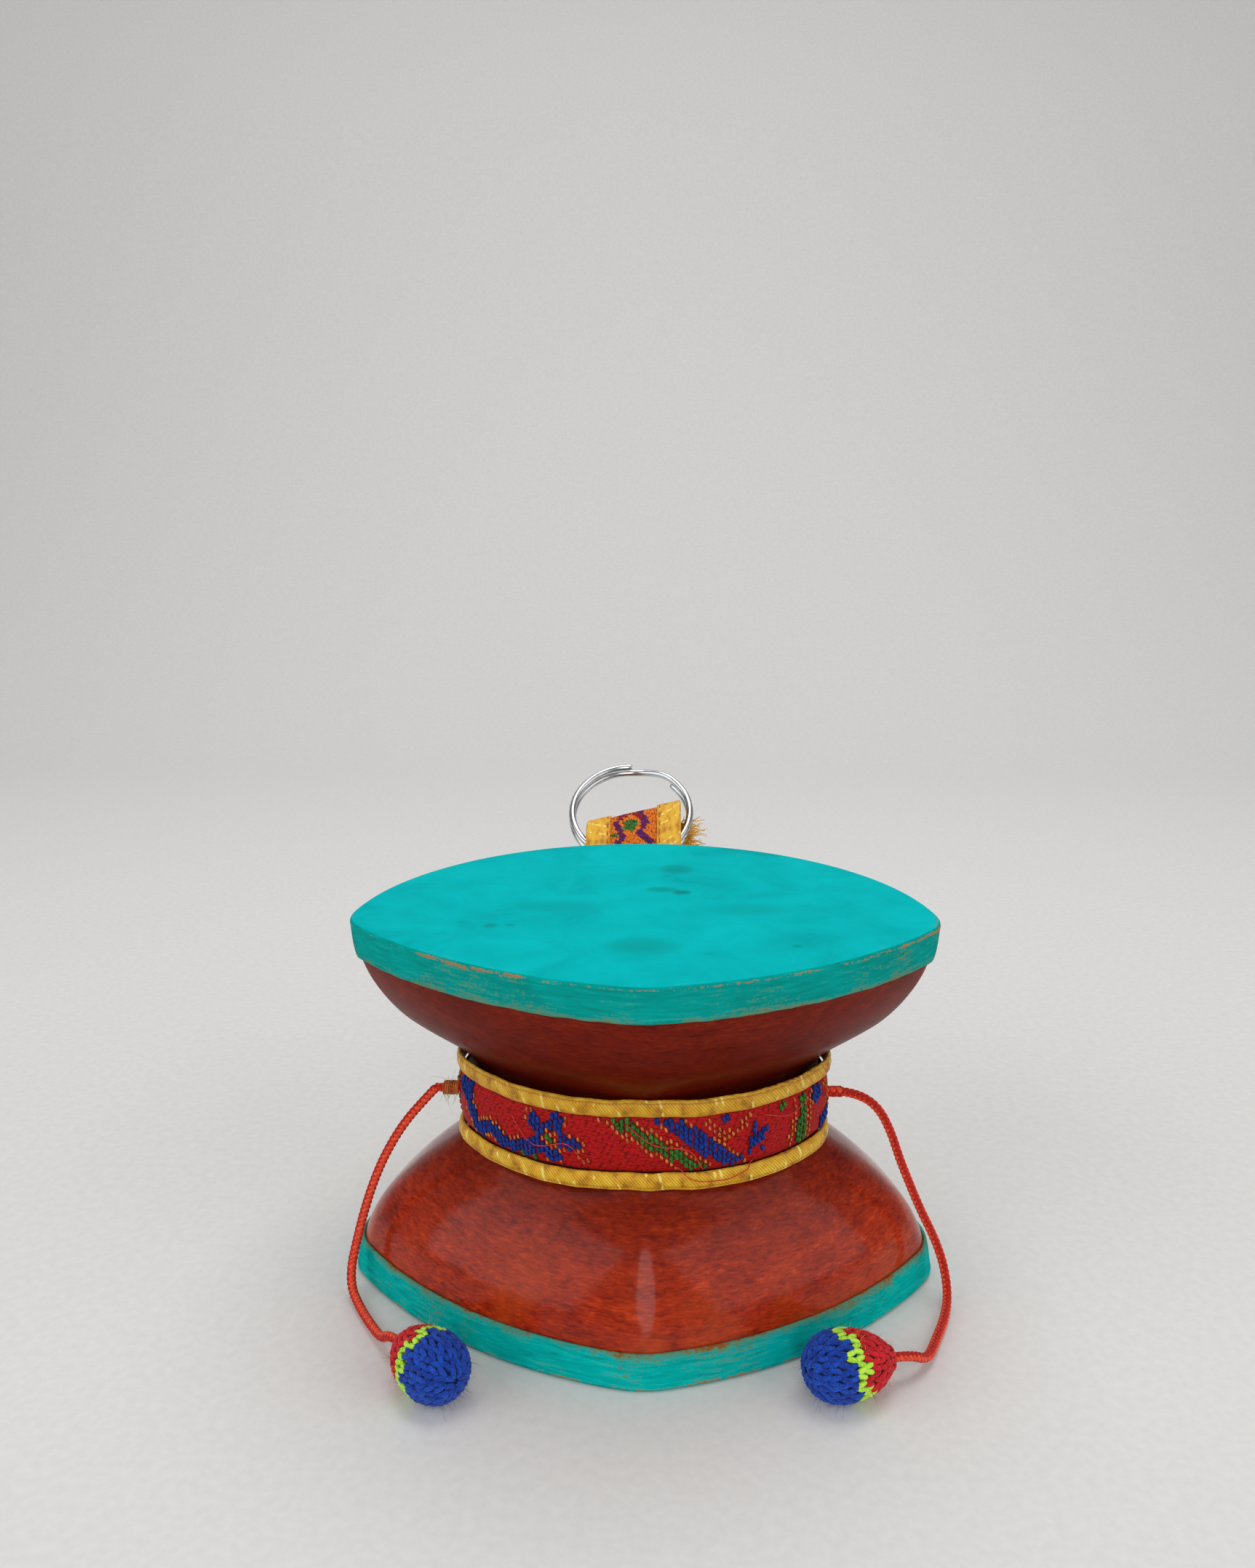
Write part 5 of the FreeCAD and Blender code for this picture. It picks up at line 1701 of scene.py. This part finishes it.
@dataclass(frozen=True)
class Strap:
    """Brocade strip from the belt's back, folded over the ring and sewn to itself.

    Places are given as a reach along the strap, a rise off its lower layer and a step sideways.
    The strip runs out to fold_reach, turns back over pitch, comes down from mouth_reach to
    sewn_reach, where it lies sewn_pitch over itself, and ends at tail_reach.
    """

    root: tuple[float, float, float] = (-3.4, 41.2, 50.8)
    angle: float = math.radians(36.5)
    width: float = 23.5
    thickness: float = 1.2
    fold_reach: float = 46.0
    pitch: float = 6.9
    mouth_reach: float = 33.0
    sewn_reach: float = 24.5
    sewn_pitch: float = 2.4
    tail_reach: float = 20.5
    tape_width: float = 5.8
    tape_proud: float = 0.4
    fold_slant: float = 0.0062
    slant_middle: float = 4.0

    def point(self, reach: Array, rise: Array, sideways: Array) -> Array:
        """Point of the strap. The fold leans, so the reach grows a little from left to right.

        Args:
            reach: distance along the strap.
            rise: distance off its lower layer.
            sideways: distance to the right of its middle.
        """
        reach, rise, sideways = np.broadcast_arrays(reach, rise, sideways)
        lean = reach * (1 + self.fold_slant * (sideways - self.slant_middle) * smooth(8, 40, reach))
        along = np.array([0, math.cos(self.angle), math.sin(self.angle)])
        up = np.array([0, -math.sin(self.angle), math.cos(self.angle)])
        across = np.array([1.0, 0, 0])
        return (np.array(self.root) + lean[..., None] * along + rise[..., None] * up
                + sideways[..., None] * across)

    def middle_line(self, start: float) -> tuple[Array, Array]:
        """Reach and rise of the strip's middle, out, over the fold and down to the sewn tail.

        Args:
            start: reach where it begins.

        Returns:
            Points of shape (N, 2), and the direction off the strip's outer side at each.
        """
        turn = np.linspace(-math.pi / 2, math.pi / 2, 40)
        radius = self.pitch / 2
        out = np.stack([np.linspace(start, self.fold_reach, 90)[:-1], np.zeros(89)], -1)
        fold = np.stack([self.fold_reach + radius * np.cos(turn), radius + radius * np.sin(turn)], -1)
        back = np.stack([np.linspace(self.fold_reach, self.mouth_reach, 30)[1:-1],
                         np.full(28, self.pitch)], -1)
        t = np.linspace(0, 1, 24)
        bend = np.stack([self.mouth_reach + (self.sewn_reach - self.mouth_reach) * t,
                         self.pitch + (self.sewn_pitch - self.pitch) * t * t * (3 - 2 * t)], -1)
        tail = np.stack([np.linspace(self.sewn_reach, self.tail_reach, 12)[1:],
                         np.full(11, self.sewn_pitch)], -1)
        line = even_line(np.concatenate([out, fold, back, bend, tail]), 0.34)
        tangent = unit(np.gradient(line, axis=0))
        return line, np.stack([tangent[:, 1], -tangent[:, 0]], -1)

    def swept(self, line: Array, off: Array, sides: Array, offs: Array) -> Array:
        """Section carried along the strip.

        Args:
            line: reach and rise of the strip's middle.
            off: direction off its outer side.
            sides: steps sideways of the section's points, in order round it.
            offs: distances off the strip's middle, positive on its outer side.

        Returns:
            Grid of points, one ring to a point of the line.
        """
        return self.point(line[:, :1] + off[:, :1] * offs, line[:, 1:] + off[:, 1:] * offs, sides)

    def cloth(self) -> Surface:
        """Brocade strip with raised floats on both of its faces."""
        half, thin = self.width / 2 - 0.25, self.thickness / 2 - 0.12
        across = np.linspace(-half, half, 120)
        edge = np.linspace(0, math.pi, 6)[1:-1]
        flat = np.full(len(across), thin)
        bulge = half + 0.2 * np.sin(edge)
        sides = np.concatenate([across, bulge, across[::-1], -bulge])
        offs = np.concatenate([flat, thin * np.cos(edge), -flat, -thin * np.cos(edge)])
        line, off = self.middle_line(0.0)
        v, u = np.meshgrid(distances(line), sides, indexing="ij")
        colour, relief = woven(u, v, STRAP_MOTIFS, STRAP_GROUND, 15)
        raised = offs + np.sign(offs) * 0.1 * relief
        return Surface.closed(self.swept(line, off, u, raised),
                              {"weave": colour, "lay": np.stack([v, u, 0 * u], -1)})

    def tape(self, side: int) -> Surface:
        """Satin tape folded round one edge of the strip.

        Args:
            side: -1 for the left edge and 1 for the right.
        """
        inner = side * (self.width / 2 - self.tape_width)
        outer = side * (self.width / 2 + self.tape_proud)
        proud, thin = self.thickness / 2 + self.tape_proud, self.thickness / 2 + 0.03
        turn_depth = side * 0.5
        flat = np.linspace(inner, outer - turn_depth, 16)
        turn = np.linspace(0, math.pi, 8)[1:-1]
        back = np.linspace(outer - side * 0.7, inner, 12)
        sides = np.concatenate([flat, outer - turn_depth + turn_depth * np.sin(turn), flat[::-1],
                                back[::-1], back])
        offs = np.concatenate([np.full(16, proud), proud * np.cos(turn), np.full(16, -proud),
                               np.full(12, -thin), np.full(12, thin)])
        line, off = self.middle_line(1.6)
        grid = self.swept(line, off, sides, offs)
        along, around = np.meshgrid(distances(line), 0.9 * np.arange(len(sides)), indexing="ij")
        # Painted shade along the tape's inner edge, where it meets the strip.
        fold = 0.30 * smooth(0.8, 0.3, np.abs(sides - inner))
        return Surface.closed(grid, {"lay": np.stack([along, around, 0 * along], -1),
                                     "fold": np.broadcast_to(fold, along.shape)})

    def hem(self) -> Surface:
        """Rolled hem at the belt, where the strap turns, in its own even orange."""
        radius = 1.0
        x = np.linspace(-self.width / 2 + 0.1, self.width / 2 - 0.1, 60)
        path = self.point(0 * x, 0 * x, x)[None]
        up = np.broadcast_to(np.array((0, 0, 1.0)), path.shape)
        made = Surface.strands(path, up, radius, radius, 16)
        colour = np.broadcast_to(np.array(linear(STRAP_HEM)), (len(made.points), 4))
        made.values = {"weave": colour, "lay": made.points}
        return made

    def seam(self) -> Surface:
        """Running stitches along both tapes and across the sewn end.

        A stitch rises off the cloth as a half sine. The ones along the tapes span 4.6 of the
        line's steps, and start every 8.
        """
        paths, ups = [], []
        line, off = self.middle_line(2.0)
        t = np.linspace(0, 1, 8)
        arch = np.sin(math.pi * t)
        for side in (-1, 1):
            seam = side * (self.width / 2 - self.tape_width + 0.7)
            for first in range(10, len(line) - 12, 8):
                index = np.linspace(first, first + 4.6, len(t))
                at = np.stack([np.interp(index, np.arange(len(line)), axis) for axis in line.T], -1)
                out = off[first + 2]
                rise = self.thickness / 2 + self.tape_proud - 0.02 + 0.12 * arch
                spot = at + rise[:, None] * out
                paths.append(self.point(spot[:, 0], spot[:, 1], seam))
                ups.append(self.point(out[0], out[1], 0.0) - self.point(0.0, 0.0, 0.0) + 0 * paths[-1])
        for x in np.arange(-self.width / 2 + 1, self.width / 2 - 1, 2.1):
            rise = self.sewn_pitch + self.thickness / 2 + 0.35 + 0.14 * arch
            paths.append(self.point(self.tail_reach + 1.2, rise, x + 1.35 * t))
            ups.append(np.array((0, -math.sin(self.angle), math.cos(self.angle))) + 0 * paths[-1])
        path = np.stack(paths)
        return Surface.strands(path, np.stack(ups), 0.13, 0.16, 6, {"tone": 0 * path[..., 0]})

    def frayed_threads(self) -> Surface:
        """Loose yellow threads at the strap's right edge."""
        count = 230
        spread = scatter(71, count)
        reach = self.fold_reach - 3.5 + 3.9 * spread
        rise = 0.55 * scatter(72, count)
        roots = self.point(reach, rise, self.width / 2 + 0.2)
        outward = unit(np.stack([np.ones(count), 0.2 * spread, 0.15 + 0.25 * scatter(73, count)], -1))
        return hairs(roots, outward, (2.6, 6.4), 0.17, 74, 0.1)

    def build(self) -> None:
        """Makes and dresses the strap's pieces."""
        cloth = piece(self.cloth(), "strap_cloth", ORANGE_BROCADE, "strap", "orange_brocade",
                      "strap_brocade")
        rolled = piece(self.hem(), "strap_hem", ORANGE_BROCADE, "strap", "orange_brocade")
        for side, name in ((-1, "left"), (1, "right")):
            piece(self.tape(side), f"strap_tape_{name}", YELLOW_SATIN, "strap", "yellow_satin",
                  f"strap_{name}_tape")
        piece(self.seam(), "strap_stitches", ORANGE_THREAD, "strap", "orange_thread")
        piece(self.frayed_threads(), "strap_frayed_edge", YELLOW_THREAD, "strap", "yellow_thread",
              "strap_frayed_threads")


@dataclass(frozen=True)
class StrapTab:
    """Strap's lower end, sewn flat over the belt's back.

    left, right, low and high are its edges, and inner and outer its two faces' distances off the
    belt's outline. pattern_shift is where the strap's pattern falls on it.
    """

    left: float = -15.15
    right: float = 8.35
    low: float = 36.0
    high: float = 49.3
    inner: float = 1.05
    outer: float = 2.5
    pattern_shift: tuple[float, float] = (3.4, -30.0)

    def wall(self, x: Array) -> tuple[Array, Array]:
        """Places on the belt's back at steps sideways.

        Args:
            x: the steps, one number to a place.

        Returns:
            Points in the plan, and the outward direction at each.
        """
        ring, normal = Belt().ring(2000)
        back = ring[:, 1] > 15
        order = np.argsort(ring[back, 0])
        ring, normal = ring[back][order], normal[back][order]
        spot = np.stack([x, np.interp(x, ring[:, 0], ring[:, 1])], -1)
        return spot, unit(np.stack([np.interp(x, ring[:, 0], axis) for axis in normal.T], -1))

    def cloth(self) -> Surface:
        """Closed slab with soft edges that follows the belt, its top hollowed for the hem."""
        x = np.linspace(self.left, self.right, 110)
        spot, out = self.wall(x)
        angle = angles(96)
        rise, depth = boxed(np.sin(angle), 0.35), boxed(np.cos(angle), 0.35)
        z = (self.low + self.high) / 2 + (self.high - self.low) / 2 * rise
        growth = (self.inner + self.outer) / 2 + (self.outer - self.inner) / 2 * depth
        growth = growth - 0.55 * smooth(0.8, 1.0, rise) * smooth(0.0, 0.4, depth)
        u, v = np.meshgrid(x, z, indexing="ij")
        colour, relief = woven(u + self.pattern_shift[0], v + self.pattern_shift[1], STRAP_MOTIFS,
                               STRAP_GROUND, 18)
        reach = growth + 0.1 * relief * np.sign(depth)
        grid = at_height(spot[:, None] + reach[..., None] * out[:, None], v)
        return Surface.closed(grid, {"weave": colour, "lay": np.stack([u, v, 0 * u], -1)})

    def stitches(self) -> Surface:
        """Slanted orange stitches that hold the tab down its sides and along its foot."""
        places = [(x, self.low + 0.9) for x in np.arange(self.left + 1, self.right - 1, 1.9)]
        places += [(x, z) for x in (self.left + 0.8, self.right - 0.8)
                   for z in np.arange(self.low + 1.6, self.high - 2, 1.9)]
        spots = np.array(places)
        t = np.linspace(0, 1, 8)[None]
        x = spots[:, :1] + 0.9 * (t - 0.5)
        z = spots[:, 1:] + 1.1 * (t - 0.5)
        wall, out = self.wall(x.ravel())
        wall, out = wall.reshape(*x.shape, 2), out.reshape(*x.shape, 2)
        lift = self.outer - 0.02 + 0.14 * np.sin(math.pi * t)
        path = at_height(wall + lift[..., None] * out, z)
        return Surface.strands(path, at_height(out, 0.0), 0.13, 0.17, 6, {"tone": 0 * x})

    def build(self) -> None:
        """Makes and dresses the tab and its stitches."""
        cloth = piece(self.cloth(), "strap_tab_cloth", ORANGE_BROCADE, "drum", "orange_brocade",
                      "strap_tab")
        stitches = piece(self.stitches(), "strap_tab_stitches", ORANGE_THREAD, "drum",
                         "orange_thread")


@dataclass(frozen=True)
class SplitRing:
    """Split key ring: two flat turns of steel wire with one crossing.

    It lies in the strap's fold, at a reach and a step sideways of the strap.
    """

    strap: Strap = Strap(fold_slant=0.0)
    centre_reach: float = 49.2
    side_shift: float = -0.8
    radius: float = 15.35
    wire: float = 1.8
    pitch: float = 2.3
    crossing: float = math.radians(44)

    def build(self) -> None:
        """Makes the wire: angle runs over two turns, and its offset changes over the crossing."""
        start = self.crossing - 2 * math.pi
        angle = np.linspace(start, 2 * math.pi, 620)
        offset = self.pitch * (smooth(0, self.crossing, angle) - 0.5)
        level = self.strap.pitch / 2
        path = self.strap.point(self.centre_reach + self.radius * np.cos(angle), level + offset,
                                self.side_shift + self.radius * np.sin(angle))
        centre = self.strap.point(self.centre_reach, level, self.side_shift)
        number = np.arange(len(angle))
        from_end = np.minimum(number, number[::-1])
        half = self.wire / 2 * np.clip(0.82 + 0.18 * from_end / 3, 0, 1)[None]
        wire = Surface.strands(path[None], unit(path - centre)[None], half, half, 20)
        piece(wire, "ring_wire", STEEL, "ring", "ring_steel", "split_ring")


# Studio


@dataclass(frozen=True)
class PaperSweep(Finish):
    """White seamless paper: matt and pale, with a faint tooth."""

    roughness: float = 0.9
    specular: float = 0.2

    def paint(self, tree: bpy.types.NodeTree) -> Sockets:
        """Tooth 2 mm across, almost even."""
        place = add(tree, "TexCoord", out="Object")
        tooth = add(tree, "TexNoise", {"Vector": place, "Scale": 480.0, "Detail": 3.0})
        colour = add(tree, "ValToRGB", {"Fac": tooth}, stops=[(0.3, "#DEDDDB"), (0.7, "#E4E3E1")])
        return {"Base Color": colour}


@dataclass(frozen=True)
class Studio:
    """Camera, soft lamps and a pale floor that curves up behind the drum.

    The camera's place, tilt and turn are solved from the photograph, for a lens of 30 mm. The
    floor's sizes are in millimetres.
    """

    camera_place: tuple[float, float, float] = (0.00262, -0.25388, 0.16744)
    tilt: float = math.radians(90 - 12.945)
    turn: float = math.radians(1.34)
    lens: float = 30.0
    floor_front: float = -1600.0
    floor_half_width: float = 2200.0
    bend: float = 500.0
    wall_top: float = 2600.0
    below: float = 0.05

    def camera(self) -> None:
        """Camera at the photograph's place."""
        data = bpy.data.cameras.new("camera")
        data.lens, data.sensor_width = self.lens, 36.0
        data.clip_start = 0.01
        thing = bpy.data.objects.new("camera", data)
        thing.location = self.camera_place
        thing.rotation_euler = (self.tilt, 0.0, self.turn)
        bpy.context.scene.collection.objects.link(thing)
        bpy.context.scene.camera = thing

    def floor(self) -> None:
        """Paper sweep: flat under the drum, then a quarter round up to a wall."""
        turn = np.linspace(0, 1, 40) * math.pi / 2
        flat = np.linspace(self.floor_front, self.bend, 20)[:-1]
        y = np.concatenate([flat, self.bend + self.bend * np.sin(turn), [2 * self.bend]])
        z = np.concatenate([0 * flat, self.bend * (1 - np.cos(turn)), [self.wall_top]])
        x = np.linspace(-self.floor_half_width, self.floor_half_width, 12)
        grid = np.stack(np.broadcast_arrays(x[None], y[:, None], z[:, None] - self.below), -1)
        rows, columns = grid.shape[:2]
        i, j = np.meshgrid(np.arange(rows - 1), np.arange(columns - 1), indexing="ij")
        first = (i * columns + j).ravel()
        faces = np.stack([first, first + 1, first + columns + 1, first + columns], -1)
        sheet = Surface(grid.reshape(-1, 3), [faces], {})
        sheet.made("paper_sweep", PaperSweep("white_paper_sweep").material())

    def lamp(self, name: str, place: tuple[float, float, float], size: tuple[float, float],
             power: float, shape: str = "RECTANGLE") -> None:
        """Soft lamp that points at the drum's belt.

        Args:
            name: the lamp's name.
            place: where it stands, in metres.
            size: its width and height, in metres.
            power: its power in watts.
            shape: the outline of its face.
        """
        data = bpy.data.lights.new(name, "AREA")
        data.energy, data.shape = power, shape
        data.size, data.size_y = size
        thing = bpy.data.objects.new(name, data)
        back = unit(np.array(place) - np.array((0, 0, 0.04)))
        side = unit(np.cross((0, 0, 1.0), back))
        turned = Matrix(np.stack([side, np.cross(back, side), back], -1).tolist()).to_4x4()
        thing.matrix_world = Matrix.Translation(place) @ turned
        bpy.context.scene.collection.objects.link(thing)

    def build(self) -> None:
        """Makes the floor, a soft lamp on each side, a strip in front, one overhead and the sky.

        The camera sees the sky brighter than the drum does, so that its mirrors stay dark.
        """
        self.floor()
        self.lamp("left_lamp", (-0.95, -0.55, 0.58), (1.15, 1.05), 5.4)
        self.lamp("right_lamp", (0.95, -0.52, 0.56), (1.15, 1.05), 4.4)
        self.lamp("front_strip", (0.10, -1.15, 0.52), (0.42, 1.25), 4.0, "ELLIPSE")
        self.lamp("top_lamp", (0.05, 0.25, 0.95), (0.7, 0.7), 4.2)
        world = bpy.data.worlds.new("studio")
        world.use_nodes = True
        bpy.context.scene.world = world
        tree = world.node_tree
        background = tree.nodes["Background"]
        background.inputs["Color"].default_value = linear("#F4F5F7")
        seen = add(tree, "LightPath", out="Is Camera Ray")
        strength = add(tree, "MapRange", {"Value": seen, "To Min": 0.25, "To Max": 0.78})
        tree.links.new(strength, background.inputs["Strength"])


def main() -> None:
    """Builds the camera and cords first, then the rest of the drum and the studio."""
    logging.basicConfig(level=logging.INFO, format="%(name)s %(message)s")
    bpy.context.scene.view_settings.view_transform = "Standard"
    studio = Studio()
    studio.camera()
    left = Beater("left", LEFT_ROUTE[-1], (0.69085, -0.71540, 0.10453), 200)
    right = Beater("right", RIGHT_ROUTE[-1], (-0.93454, -0.34015, 0.10453), 300, slant=0.11)
    BeaterCord("left", LEFT_ROUTE, -36.3, 0.95, 76.2, left).build()
    BeaterCord("right", RIGHT_ROUTE, 36.3, 1.3, 83.4, right).build()
    Whipping().build()
    WaistCord().build()
    DrumBody().build()
    Belt().build()
    StrapTab().build()
    Strap().build()
    SplitRing().build()
    studio.build()


if __name__ == "__main__":
    main()
